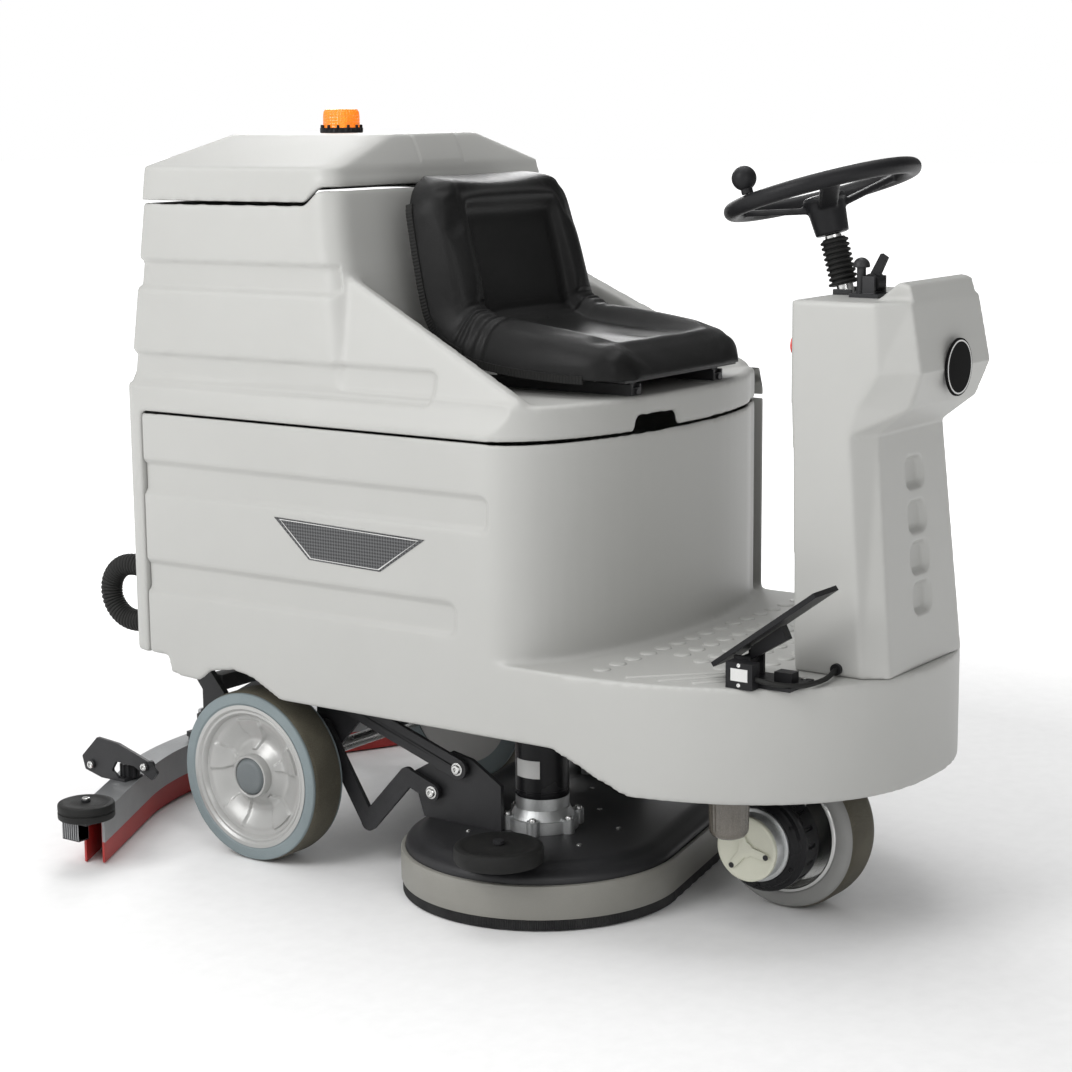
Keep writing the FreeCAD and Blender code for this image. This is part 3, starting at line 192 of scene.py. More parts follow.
FINISHES = {                       # dark and light tone, roughness, grain, depth, patch size, other values
    "body": ((0.37, 0.37, 0.355), (0.40, 0.40, 0.385), 0.44, 1500, 0.22, 3.5, {"spread": 0.2}),
    "black": ((0.008, 0.008, 0.009), (0.015, 0.015, 0.016), 0.42, 1400, 0.3, {"specular": 0.17}),
    "satin": ((0.008, 0.008, 0.009), (0.014, 0.014, 0.015), 0.28, 1900, 0.12, {"specular": 0.17}),
    "vinyl": ((0.005, 0.005, 0.005), (0.009, 0.009, 0.009), 0.3, 520, 0.35, 7,
              {"specular": 0.16, "cells": True}),
    "frame": ((0.016, 0.016, 0.017), (0.03, 0.03, 0.032), 0.42, 1100, 0.35, {"specular": 0.3}),
    "rubber": ((0.01, 0.01, 0.01), (0.019, 0.019, 0.018), 0.55, 1200, 0.4, {"specular": 0.18}),
    "red_rubber": ((0.33, 0.02, 0.018), (0.47, 0.035, 0.03), 0.45, 900, 0.2, {}),
    "tread": ((0.075, 0.068, 0.047), (0.125, 0.113, 0.08), 0.7, 620, 0.9, 9,
              {"spread": 0.08, "cells": True}),
    "side_ring": ((0.155, 0.19, 0.2), (0.205, 0.245, 0.255), 0.6, 1300, 0.3, {}),
    "grey_ring": ((0.2, 0.2, 0.195), (0.26, 0.26, 0.25), 0.5, 1300, 0.2, {}),
    "hub": ((0.36, 0.36, 0.35), (0.42, 0.42, 0.41), 0.3, 1700, 0.12, 5, {"metallic": 0.25}),
    "cap": ((0.1, 0.115, 0.12), (0.14, 0.155, 0.16), 0.5, 1200, 0.3, {}),
    "aluminium": ((0.42, 0.43, 0.43), (0.56, 0.57, 0.57), 0.42, 700, 0.4, 12, {"metallic": 0.85}),
    "steel": ((0.55, 0.55, 0.54), (0.68, 0.68, 0.67), 0.26, 500, 0.12, 10,
              {"metallic": 1.0, "stretch": (1, 1, 12)}),
    "cream": ((0.52, 0.52, 0.43), (0.62, 0.62, 0.52), 0.4, 900, 0.2, {}),
    "strip": ((0.205, 0.2, 0.18), (0.255, 0.25, 0.225), 0.4, 1300, 0.2, 4, {}),
    "red": ((0.5, 0.015, 0.012), (0.62, 0.03, 0.02), 0.3, 900, 0.1, {}),
    "grey_metal": ((0.23, 0.235, 0.24), (0.31, 0.315, 0.32), 0.38, 700, 0.25, 8,
                   {"metallic": 0.6, "stretch": (14, 1, 1)}),
    "bristle": ((0.01, 0.01, 0.011), (0.03, 0.03, 0.03), 0.7, 500, 1.0, 30, {"stretch": (6, 6, 0.3)}),
    "label": ((0.5, 0.5, 0.49), (0.58, 0.58, 0.57), 0.4, 900, 0.05, {}),
    "matt": ((0.004, 0.004, 0.004), (0.008, 0.008, 0.008), 0.7, 1200, 0.1, {"specular": 0.05}),
    "smoked": ((0.085, 0.075, 0.06), (0.14, 0.125, 0.105), 0.16, 500, 0.08, 20, {"coat": 0.5}),
    "conduit": ((0.16, 0.16, 0.155), (0.22, 0.22, 0.21), 0.5, 900, 0.3, {}),
}
SKIN = {name: finish_material(name, *numbers, **more) for name, (*numbers, more) in FINISHES.items()}
SKIN["carbon"] = carbon_material()
SKIN["amber"] = amber_material()
SKIN["tyre"] = SKIN["tread"]


# ---------------------------------------------------------------- mesh helpers
def quads(rows, count, closed=True, wrapped=False, start=0):
    """Faces between rows of points; closed joins each row's ends, wrapped the last row to the first."""
    faces = []
    for n in range(rows if wrapped else rows - 1):
        m = (n + 1) % rows
        for i in range(count if closed else count - 1):
            j = (i + 1) % count
            faces.append((start + n * count + i, start + n * count + j, start + m * count + j,
                          start + m * count + i))
    return faces


def turns(count, offset=0.0):
    """Cosine and sine of evenly spaced angles round a circle."""
    angles = [2 * math.pi * (i + offset) / count for i in range(count)]
    return [(math.cos(angle), math.sin(angle)) for angle in angles]


def shaded(obj, angle=None):
    """Smooth shading, with edges sharper than the angle (in degrees) kept crisp."""
    mesh = obj.data
    mesh.polygons.foreach_set("use_smooth", [True] * len(mesh.polygons))
    if angle is not None:
        mesh.set_sharp_from_angle(angle=math.radians(angle))
    mesh.update()
    return obj


def piece(name, verts, faces, skin, body, slot, angle=35.0, replaces=()):
    """A new mesh piece from points in millimetres of the row frame."""
    mesh = bpy.data.meshes.new(name)
    mesh.from_pydata([(v[0] * MM, v[1] * MM, v[2] * MM) for v in verts], [], faces)
    mesh.validate()
    bm = bmesh.new()
    bm.from_mesh(mesh)
    bmesh.ops.recalc_face_normals(bm, faces=bm.faces)
    bm.to_mesh(mesh)
    bm.free()
    obj = bpy.data.objects.new(name, mesh)
    bpy.context.scene.collection.objects.link(obj)
    obj.data.materials.append(SKIN[skin])
    shaded(obj, angle)
    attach(obj, body)
    if replaces:
        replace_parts(obj, *replaces)
    return obj


def points_of(obj, normals=False):
    """The mesh's points in metres, or the normals at them, as rows of an array."""
    mesh = obj.data if hasattr(obj, "data") else obj
    found = np.empty(len(mesh.vertices) * 3, np.float32 if normals else float)
    if normals:
        mesh.vertex_normals.foreach_get("vector", found)
    else:
        mesh.vertices.foreach_get("co", found)
    return found.reshape(-1, 3)


def place_points(obj, points):
    """Moves the mesh's points to the rows of an array, in metres."""
    obj.data.vertices.foreach_set("co", points.ravel())
    obj.data.update()


def applied(obj, kind=None, **settings):
    """Replaces the object's mesh by the result of its modifiers, and of one more when a kind is given."""
    if kind:
        modifier = obj.modifiers.new(kind.lower(), kind)
        for key, value in settings.items():
            setattr(modifier, key, value)
    bpy.context.view_layer.update()
    graph = bpy.context.evaluated_depsgraph_get()
    mesh = bpy.data.meshes.new_from_object(obj.evaluated_get(graph))
    obj.modifiers.clear()
    obj.data = mesh
    return obj


def moulded(name, sources, voxel, rounds, skin, body, shape=None, keep=1.0, soften=4, solids=()):
    """CAD nodes, or the closed solids given, made one soft-edged moulding; shape() may move its points."""
    bm = bmesh.new()
    for node in () if solids else sources:
        bm.from_mesh(frame["nodes"][node].data)
    for verts, faces in solids:
        made = [bm.verts.new((x * MM, y * MM, z * MM)) for x, y, z in verts]
        for face in faces:
            bm.faces.new([made[i] for i in face])
    bmesh.ops.remove_doubles(bm, verts=bm.verts, dist=0.00002)
    bmesh.ops.recalc_face_normals(bm, faces=bm.faces)
    mesh = bpy.data.meshes.new(name)
    bm.to_mesh(mesh)
    bm.free()
    obj = bpy.data.objects.new(name, mesh)
    bpy.context.scene.collection.objects.link(obj)
    remesh = obj.modifiers.new("remesh", "REMESH")
    remesh.mode = "VOXEL"
    remesh.voxel_size = voxel * MM
    applied(obj, "SMOOTH", factor=0.5, iterations=rounds)
    if shape:
        place_points(obj, shape(points_of(obj) / MM, points_of(obj, True).astype(float)) * MM)
        if soften:
            applied(obj, "SMOOTH", factor=0.5, iterations=soften)
    if keep < 1.0:
        applied(obj, "DECIMATE", ratio=keep)
    obj.data.materials.clear()
    obj.data.materials.append(SKIN[skin])
    shaded(obj)
    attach(obj, body)
    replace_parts(obj, *sources)
    return obj


def frame_axes(axis):
    """Two unit vectors across an axis."""
    axis = Vector(axis).normalized()
    side = axis.cross(Vector((0, 0, 1)))
    if side.length < 0.1:
        side = axis.cross(Vector((0, 1, 0)))
    side.normalize()
    return axis, side, axis.cross(side)


def turned(name, profile, origin, axis, skin, body, slot, steps=96, wave=None, **more):
    """A body of revolution; profile is (distance along the axis, radius) in millimetres."""
    axis, side, up = frame_axes(axis)
    origin = Vector(origin) / MM
    verts = []
    for i in range(steps):
        turn = 2 * math.pi * i / steps
        for along, radius in profile:
            if wave:
                along, radius = wave(along, radius, turn)
            verts.append(origin + axis * along + (side * math.cos(turn) + up * math.sin(turn)) * radius)
    rows = len(profile)
    faces = quads(steps, rows, closed=False, wrapped=True)
    open_ends = [end for end in (0, rows - 1) if profile[end][1] > 0.01]
    if len(open_ends) == 2:
        faces += [(i * rows, (i + 1) % steps * rows, (i + 1) % steps * rows + rows - 1, i * rows + rows - 1)
                  for i in range(steps)]
    elif open_ends:
        faces.append([i * rows + open_ends[0] for i in range(steps)])
    obj = piece(name, verts, faces, skin, body, slot, **more)
    bm = bmesh.new()
    bm.from_mesh(obj.data)
    bmesh.ops.remove_doubles(bm, verts=bm.verts, dist=0.000005)
    bmesh.ops.recalc_face_normals(bm, faces=bm.faces)
    bm.to_mesh(obj.data)
    bm.free()
    return shaded(obj, more.get("angle", 35.0))


def joined(name, parts):
    """Several new pieces made one object, in the first one's place."""
    bm = bmesh.new()
    materials = []
    for part in parts:
        start = len(bm.faces)
        bm.from_mesh(part.data)
        bm.faces.ensure_lookup_table()
        skin = part.data.materials[0]
        if skin not in materials:
            materials.append(skin)
        for face in bm.faces[start:]:
            face.material_index = materials.index(skin)
    first = parts[0]
    for part in parts[1:]:
        bpy.data.objects.remove(part)
    mesh = bpy.data.meshes.new(name)
    bm.to_mesh(mesh)
    bm.free()
    first.data = mesh
    for skin in materials:
        mesh.materials.append(skin)
    first.name = name
    return shaded(first, 35.0)


def bolt(name, origin, axis, radius, height, body, skin="steel", socket=True):
    """Domed cap screw with a hexagonal socket."""
    profile = [(0, radius), (height * 0.7, radius), (height * 0.95, radius * 0.86), (height, radius * 0.7)]
    if socket:
        profile += [(height, radius * 0.5), (height * 0.45, radius * 0.46), (height * 0.4, 0.0)]
    else:
        profile += [(height, 0.0)]
    return turned(name, profile, origin, axis, skin, body, "steel", steps=24)


def outline_prism(name, outline, x0, x1, skin, body, slot, width=0.0):
    """A flat plate across X from (y, z) corners; a width makes it only a border line."""
    count = len(outline)
    if not width:
        verts = [(x, y, z) for x in (x0, x1) for y, z in outline]
        faces = [tuple(range(count)), tuple(range(2 * count - 1, count - 1, -1))]
        faces += [(i, (i + 1) % count, count + (i + 1) % count, count + i) for i in range(count)]
        return piece(name, verts, faces, skin, body, slot, 30)
    mid_y = sum(p[0] for p in outline) / count
    mid_z = sum(p[1] for p in outline) / count
    inner = []
    for y, z in outline:
        dy, dz = mid_y - y, mid_z - z
        inner.append((y + math.copysign(width * 1.8, dy), z + math.copysign(width, dz)))
    verts = [(x, y, z) for x in (x0, x1) for y, z in outline + inner]
    faces = []
    for i in range(count):
        j = (i + 1) % count
        k, m = 2 * count + i, 2 * count + j
        faces += [(i, j, count + j, count + i), (k, count + k, count + m, m), (i, k, m, j),
                  (count + i, count + j, count + m, count + k)]
    return piece(name, verts, faces, skin, body, slot, 30)




# ---------------------------------------------------------------- large mouldings
BODY_HALF = 371.0
LID_SEAM_Z = 1133.0
CORNER_X = 326.0                    # centre of the tank's rear corner arcs
CORNER_Y = 518.0
BAND_DEPTH = 8.0
HOPPER_BANDS = [(986, 1037, 150), (822, 880, -60)]        # (z from, z to, front end y)
TANK_BANDS = [(635, 694, -180), (463, 519, -115)]


def plan_depth(points, half, rear, corner):
    """Depth of each point inside a round-cornered plan outline, and the way out of it."""
    side = np.sign(points[:, 0])
    dx = np.abs(points[:, 0]) - (half - corner)
    dy = points[:, 1] - (rear - corner)
    reach = np.maximum(np.hypot(dx, dy), 1e-6)
    in_corner = (dx > 0) & (dy > 0)
    by_side = dx > dy
    depth = np.where(in_corner, corner - reach, np.where(by_side, corner - dx, corner - dy))
    way_x = np.where(in_corner, side * dx / reach, np.where(by_side, side, 0.0))
    way_y = np.where(in_corner, dy / reach, np.where(by_side, 0.0, 1.0))
    return depth, way_x, way_y


def press_bands(points, half, rear, corner, bands):
    """Long shallow recesses along both sides, open to the rear and rounded at the front."""
    inside, way_x, way_y = plan_depth(points, half, rear, corner)
    wall = (inside > -4) & (inside < 13)
    depth = np.zeros(len(points))
    for z0, z1, front in bands:
        middle = (z0 + z1) / 2
        round_end = 16.0
        dz = np.abs(points[:, 2] - middle) - ((z1 - z0) / 2 - round_end)
        dy = front + round_end - points[:, 1]
        within = round_end - np.hypot(np.maximum(dz, 0), np.maximum(dy, 0))
        within = np.where((dz < 0) & (dy < 0), round_end - np.maximum(dz, dy), within)
        depth = np.maximum(depth, BAND_DEPTH * smooth(-1.0, 6.5, within))
    points[:, 0] -= way_x * depth * wall
    points[:, 1] -= way_y * depth * wall
    return points


def dimple_places():
    """Round raised dots over the foot platform, in staggered rows."""
    places = [(44.0 * k + (22.0 if row % 2 else 0.0), -350.0 - 50.0 * row)
              for row in range(6) for k in range(-8, 9)]
    return [(x, y) for x, y in places
            if (abs(x) / 345) ** 2.3 + (max(0.0, -265 - y) / 455) ** 2.3 < 1
            and not (abs(x) < 168 and y < -575)
            and not (x < -150 + (y + 350) * 0.45 and y < -380)]


FLOOR_BARS = [((-331, -414), (-219, -524)), ((-320, -466), (-245, -530)), ((-306, -517), (-263, -553))]


def lower_shape(points, normals):
    """Squares the tank's rear corners up to the column and presses the bands."""
    x, y = points[:, :2].T
    dx = np.abs(x) - CORNER_X
    dy = y - CORNER_Y
    corner = (dx > 0) & (dy > 0)
    grow = np.minimum(np.hypot(dx, dy) / np.maximum(np.maximum(dx, dy), 1e-3), 1.34)
    points[:, 0] = np.where(corner, np.sign(x) * (CORNER_X + dx * grow), x)
    points[:, 1] = np.where(corner, CORNER_Y + dy * grow, y)
    return press_bands(points, BODY_HALF, 593.0, 1.0, TANK_BANDS)


def floor_grip():
    """Round dots and slanted bars standing on the foot platform."""
    verts = []
    faces = []

    def raised(loops, height_of):
        start = len(verts)
        count = len(loops[0])
        for loop, height in zip(loops, height_of):
            verts.extend((x, y, 430.0 + height) for x, y in loop)
        faces.extend(quads(len(loops), count, start=start))
        faces.append(tuple(start + (len(loops) - 1) * count + i for i in range(count)))
        faces.append(tuple(start + count - 1 - i for i in range(count)))

    heights = (-2.5, 0.0, 1.3, 2.1, 2.6, 2.8)
    for px, py in dimple_places():
        raised([[(px + r * c, py + r * s) for c, s in turns(28)] for r in (14.5, 14.3, 13.2, 11.0, 7.5,
                                                                           3.5)],
               heights)
    for (ax, ay), (bx, by) in FLOOR_BARS:
        lean = math.atan2(by - ay, bx - ax)
        loops = []
        for r in (5.6, 5.5, 4.8, 3.6, 2.2, 1.0):
            loop = [(bx + r * math.cos(lean + a), by + r * math.sin(lean + a))
                    for a in np.linspace(-math.pi / 2, math.pi / 2, 9)]
            loop += [(ax + r * math.cos(lean + a), ay + r * math.sin(lean + a))
                     for a in np.linspace(math.pi / 2, 3 * math.pi / 2, 9)]
            loops.append(loop)
        raised(loops, heights)
    piece("floor_grip", verts, faces, "body", "chassis", "body", 50)


def upper_shape(points, normals):
    """Blends the deck's edge into the hopper's sides, lifts the lid's seat and presses the bands."""
    x, y, z = points.T
    side = np.sign(x)
    inset = 4.0 + 15.0 * smooth(560.0, 100.0, y)
    level = smooth(780.0, 836.0, z) * smooth(-360.0, -180.0, y) * (z < 850)
    points[:, 0] = side * np.minimum(np.abs(x), BODY_HALF - inset * level)
    lift = 25.0 * smooth(1050.0, LID_SEAM_Z, z) * smooth(240.0, 200.0, y)
    points[:, 2] = z + lift
    rise = np.clip((z - 834.0) / 299.0, 0.0, 1.0)
    front = np.clip((600.0 - y) / 490.0, 0.0, 1.0)
    half = (367.0 - 15.0 * front) * (1 - rise) + (346.0 - 43.0 * np.clip((589.0 - y) / 412.0, 0, 1)) * rise
    half = np.where(z < 834.0, BODY_HALF - inset * level, half)
    rear = np.where(z < 834.0, 613.0, 611.0 - 22.0 * rise)
    return press_bands(points, half, rear, 45.0, HOPPER_BANDS)


def lid_shape(points, normals):
    """Raises the lid's front lower edge to meet the hopper, and folds the raised centre strip."""
    x, y, z = points.T
    lift = 25.0 * smooth(1190.0, 1138.0, z) * smooth(240.0, 200.0, y)
    top = (normals[:, 2] > 0.2) & (z > 1196)
    strip = 2.2 * smooth(63.0, 57.0, np.abs(x)) * top * smooth(1244.5, 1240.0, z)
    groove = 2.8 * smooth(4.5, 1.0, np.abs(np.abs(x) - 62.0)) * top
    points[:, 2] = np.minimum(z + lift + strip - groove, 1244.0)
    return points


def console_shape(points, normals):
    """Four rounded-square pockets down the column's front."""
    x, y, z = points.T
    face = (normals[:, 1] < -0.6) & (y < -700)
    depth = np.zeros(len(points))
    for middle in (730.0, 662.0, 598.0, 536.0):
        dx = np.maximum(np.abs(x) - 14.0, 0.0)
        dz = np.maximum(np.abs(z - middle) - 9.0, 0.0)
        depth = np.maximum(depth, 11.0 * smooth(17.0, 10.0, np.hypot(dx, dz)))
    points[:, 1] += depth * face
    slot = (np.abs(x) < 34) & (y > -643) & (y < -583) & (z > 990)
    points[:, 2] -= 26.0 * slot
    return points


def loft(loops):
    """Closed solid through loops of the same number of points."""
    count = len(loops[0])
    verts = [point for loop in loops for point in loop]
    faces = [tuple(range(count - 1, -1, -1)), tuple((len(loops) - 1) * count + i for i in range(count))]
    return verts, faces + quads(len(loops), count)


def console_solids():
    """The console's faceted outside, and the brow over its front."""
    loops = []
    for z, half, rear, side, front_half, front in CONSOLE_SECTIONS:
        loops.append([(half, rear, z), (-half, rear, z), (-half, side, z), (-front_half, front, z),
                      (front_half, front, z), (half, side, z)])
    brow = [[(x, y, z) for y, z in ((-703, 996), (-771, 996), (-763, 1024), (-745, 1029))]
            for x in (-106, 106)]
    return [loft(loops), loft(brow)]


CONSOLE_SECTIONS = [                # z, half width, rear, side end, front half width, front
    (430, 150, -599, -715, 122, -751), (800, 150, -591, -688, 108, -717), (842, 150, -588, -699, 112, -771),
    (896, 150, -588, -735, 118, -791), (1000, 150, -588, -727, 114, -771),
]


def quad_loop(rear_half, rear, front_half, front, z, corner=45.0, steps=7):
    """Plan outline that narrows to its front, with rounded corners."""
    corners = [(rear_half, rear), (-rear_half, rear), (-front_half, front), (front_half, front)]
    loop = []
    for n, (x, y) in enumerate(corners):
        px, py = corners[n - 1]
        qx, qy = corners[(n + 1) % 4]
        before = Vector((px - x, py - y)).normalized()
        after = Vector((qx - x, qy - y)).normalized()
        reach = corner / math.tan(before.angle(after) / 2)
        first, last, mid = Vector((x, y)) + before * reach, Vector((x, y)) + after * reach, Vector((x, y))
        for i in range(steps + 1):
            t = i / steps
            spot = first * (1 - t) ** 2 + mid * 2 * t * (1 - t) + last * t ** 2
            loop.append((spot.x, spot.y, z))
    return loop


def lid_solids():
    """The lid's outside as one solid."""
    return [loft([quad_loop(346, 589, 303, 177, 1136), quad_loop(341, 585, 298, 181, 1192),
                  quad_loop(170, 533, 140, 203, 1244)])]


moulded("lower_moulding", ["lower_body"], 5.0, 7, "body", "chassis", lower_shape, 0.5, 1)
moulded("upper_moulding", ["recovery_tank", "rear_column"], 5.0, 7, "body", "upper_tank",
        upper_shape, 0.5, 1)
floor_grip()
lid = moulded("lid_moulding", ["tank_lid"], 4.0, 6, "body", "lid", lid_shape, 1.0, 1, lid_solids())
moulded("console_moulding", ["console"], 3.5, 6, "body", "chassis", console_shape, 0.6, 0,
        console_solids())


def hollowed(obj, floor_z, thickness):
    """Opens the solid lid underneath, inside a smooth outline, and gives it a wall."""
    rim = [Vector(point[:2]) * MM for point in quad_loop(337, 580, 294, 186, 0, 38.0, 9)]
    bm = bmesh.new()
    bm.from_mesh(obj.data)

    def nearest(spot):
        best = None
        inside = False
        for a, b in zip(rim, rim[1:] + rim[:1]):
            share = min(1.0, max(0.0, (spot - a).dot(b - a) / (b - a).length_squared))
            foot = a.lerp(b, share)
            if best is None or (foot - spot).length < (best - spot).length:
                best = foot
            if (a.y > spot.y) != (b.y > spot.y) and spot.x < a.x + (b.x - a.x) * (spot.y - a.y) / (b.y - a.y):
                inside = not inside
        return best, inside

    low = [f for f in bm.faces if f.normal.z < -0.3 and f.calc_center_median().z < floor_z * MM
           and nearest(f.calc_center_median().xy)[1]]
    bmesh.ops.delete(bm, geom=low, context="FACES")
    for vert in bm.verts:
        if vert.is_boundary:
            foot = nearest(vert.co.xy)[0]
            if (foot - vert.co.xy).length < 6 * MM:
                vert.co.x, vert.co.y = foot.x, foot.y
    bm.to_mesh(obj.data)
    bm.free()
    applied(obj, "SOLIDIFY", thickness=thickness * MM, offset=-1.0)
    shaded(obj)


hollowed(lid, 1168.0, 4.0)




# ---------------------------------------------------------------- seat
SEAT_PATH = [                       # underside of the bucket: y, z, half width, hollow and edge thickness
    (-318, 862, 186, 22, 28), (-290, 862, 204, 30, 42), (-210, 864, 218, 32, 54), (-120, 869, 220, 30, 60),
    (-40, 878, 213, 30, 62), (22, 893, 210, 34, 62), (62, 925, 208, 42, 68), (80, 975, 205, 46, 72),
    (93, 1030, 202, 46, 70), (106, 1085, 198, 44, 66), (116, 1128, 194, 46, 62), (122, 1158, 190, 46, 58),
    (125, 1174, 184, 40, 46),
]
SEAT_ROWS = 76
SEAT_COLUMNS = 64
BEND = 0.47                         # where along the path the cushion turns up into the back


def seat_station(t):
    """Path values at t from 0 to 1, with the unit direction across the pad's thickness."""
    data = np.array(SEAT_PATH, float)
    steps = np.hypot(np.diff(data[:, 0]), np.diff(data[:, 1]))
    reach = np.concatenate([[0], np.cumsum(steps)]) / steps.sum()
    eased = [np.interp(np.clip(t + d, 0, 1), reach, data[:, k]) for k in range(5) for d in (-0.04, 0, 0.04)]
    eased = np.array(eased).reshape(5, 3)
    values = eased.mean(axis=1) if 0.04 < t < 0.96 else eased[:, 1]
    ahead_y = eased[0, 2] - eased[0, 0]
    ahead_z = eased[1, 2] - eased[1, 0]
    length = math.hypot(ahead_y, ahead_z)
    return values, (-ahead_z / length, ahead_y / length)


def seat_height(t, across, hollow, edge):
    """Thickness of the pad: a soft dish, a rounded bolster round it, and round outer edges."""
    side = abs(across)
    end = min(t, 1 - t)
    bolster = float(smooth(0.56, 0.72, side))
    back = t > BEND
    head = float(smooth(0.86, 0.93, t))
    front = float(smooth(0.15, 0.06, t)) * 0.8
    level = max(bolster, head if back else front)
    thick = hollow + (edge - hollow) * level
    dip = 0.0 if back else 7.0 * math.exp(-((side - 0.3) / 0.17) ** 2 - ((t - 0.2) / 0.09) ** 2)
    over_side = max(0.0, (side - 0.8) / 0.2)
    over_end = max(0.0, 1 - end / (0.05 if back else 0.07))
    fall = max(0.0, 1 - over_side ** 2.4) ** 0.5 * max(0.0, 1 - over_end ** 2.4) ** 0.5
    return (thick - dip) * fall


def corner_cut(t):
    """How far the round front and top corners draw the half width in."""
    front = min(0.96, max(0.0, 1 - t / 0.11))
    top = min(0.96, max(0.0, 1 - (1 - t) / 0.105))
    return 46 * (1 - math.sqrt(1 - front ** 2)) + 62 * (1 - math.sqrt(1 - top ** 2))


def seat_mesh():
    """Points of the pad's upper and lower faces, in millimetres, as two grids joined at their rims."""
    upper_grid = []
    lower_grid = []
    for i in range(SEAT_ROWS + 1):
        t = i / SEAT_ROWS
        (y, z, half, hollow, edge), (ny, nz) = seat_station(t)
        half -= corner_cut(t)
        for k in range(SEAT_COLUMNS + 1):
            across = math.sin((k / SEAT_COLUMNS - 0.5) * math.pi * 0.94) / math.sin(math.pi * 0.47)
            height = seat_height(t, across, hollow, edge)
            cup = 9.0 * abs(across) ** 2.5 if t > BEND else 0.0
            base = 6.0 + cup
            upper_grid.append((across * half, y + ny * (height + base), z + nz * (height + base)))
            lower_grid.append((across * half, y + ny * cup, z + nz * cup))
    return upper_grid, lower_grid


def seat_piece():
    upper_grid, lower_grid = seat_mesh()
    wide = SEAT_COLUMNS + 1
    start = len(upper_grid)
    faces = []
    for i in range(SEAT_ROWS):
        for k in range(SEAT_COLUMNS):
            a = i * wide + k
            faces.append((a, a + 1, a + wide + 1, a + wide))
            faces.append((start + a, start + a + wide, start + a + wide + 1, start + a + 1))
    rim = list(range(wide))
    rim += [i * wide + SEAT_COLUMNS for i in range(1, SEAT_ROWS + 1)]
    rim += [SEAT_ROWS * wide + k for k in range(SEAT_COLUMNS - 1, -1, -1)]
    rim += [i * wide for i in range(SEAT_ROWS - 1, 0, -1)]
    for a, b in zip(rim, rim[1:] + rim[:1]):
        faces.append((a, start + a, start + b, b))
    pad = piece("seat_cover", upper_grid + lower_grid, faces, "vinyl", "seat", "vinyl", None,
                replaces=["seat_pad"])
    return pad, start, rim


def inflated(obj, pinned, cap):
    """Lets the cover swell like foam under vinyl; no point moves further than the cap."""
    rest = points_of(obj)
    held = obj.vertex_groups.new(name="held")
    held.add(pinned, 1.0, "REPLACE")
    cloth = obj.modifiers.new("cloth", "CLOTH")
    for key, value in (("quality", 5), ("mass", 0.3), ("tension_stiffness", 40),
                       ("compression_stiffness", 40),
                       ("bending_stiffness", 4), ("use_pressure", True), ("uniform_pressure_force", 4.0),
                       ("vertex_group_mass", "held")):
        setattr(cloth.settings, key, value)
    cloth.settings.effector_weights.gravity = 0.0
    for number in range(1, 21):
        bpy.context.scene.frame_set(number)
    graph = bpy.context.evaluated_depsgraph_get()
    moved = points_of(obj.evaluated_get(graph).to_mesh())
    obj.evaluated_get(graph).to_mesh_clear()
    bpy.context.scene.frame_set(1)
    obj.modifiers.remove(cloth)
    obj.vertex_groups.clear()
    step = moved - rest
    length = np.linalg.norm(step, axis=1)
    step *= (np.minimum(length, cap) / np.maximum(length, 1e-9))[:, None]
    place_points(obj, rest + step)


def seat_seams(obj):
    """Piping grooves round the back panel and pleats at the bend, after the swelling."""
    normals = points_of(obj, True)
    points = points_of(obj)
    wide = SEAT_COLUMNS + 1
    for i in range(SEAT_ROWS + 1):
        t = i / SEAT_ROWS
        for k in range(wide):
            across = abs(math.sin((k / SEAT_COLUMNS - 0.5) * math.pi * 0.94) / math.sin(math.pi * 0.47))
            groove = 0.0
            if t > BEND + 0.04:
                far = max(across - 0.61, (t - 0.885) / 0.5)
                groove = 6.5 * math.exp(-(far / 0.034) ** 2) + 4.5 * math.exp(-((far - 0.11) / 0.032) ** 2)
            pleat = 0.0
            if across > 0.66 and abs(t - BEND) < 0.055:
                swing = math.cos((t - BEND) / 0.055 * math.pi * 3.5)
                pleat = 4.4 * swing * float(smooth(0.66, 0.74, across))
            index = i * wide + k
            points[index] -= normals[index] * (groove - pleat) * MM
    place_points(obj, points)


seat_cover, seat_lower_start, seat_rim = seat_piece()
below = list(range(seat_lower_start, len(seat_cover.data.vertices)))
inflated(seat_cover, below + seat_rim, 0.010)
seat_seams(seat_cover)
applied(seat_cover, "SUBSURF", levels=1, render_levels=1)
seat_cover.data.materials.clear()
seat_cover.data.materials.append(SKIN["vinyl"])
shaded(seat_cover)


def seat_trim():
    """Ribbed tape round the pad's lower edge, with small bolts."""
    steps = [(i + part / 3) / SEAT_ROWS for i in range(8, SEAT_ROWS - 5) for part in range(3)]
    parts = []
    for side in (-1, 1):
        verts = []
        for n, t in enumerate(steps):
            (y, z, half, _, _), (ny, nz) = seat_station(t)
            half -= corner_cut(t)
            cup = 9.0 if t > BEND else 0.0
            rib = 1.3 if n % 2 else 0.3
            for low, out in ((-6, -3), (-6, 1.2 + rib), (7, 1.6 + rib), (7, -3)):
                reach = half + out
                verts.append((side * reach, y + ny * (low + cup), z + nz * (low + cup)))
        faces = quads(len(steps), 4)
        faces += [(0, 1, 2, 3), tuple(4 * (len(steps) - 1) + k for k in (3, 2, 1, 0))]
        parts.append(piece("tape", verts, faces, "rubber", "seat", "vinyl", 30))
    return joined("seat_tape", parts)


seat_trim()
for side in (-1, 1):
    for number, (y, z, x) in enumerate(((-150, 868, 210.2), (-244, 866, 200), (-262, 866, 196))):
        bolt("seat_bolt_%d_%d" % (side + 1, number), at(side * (x - 4), y, z), (side, 0, 0), 5.0, 5.0,
             "seat")


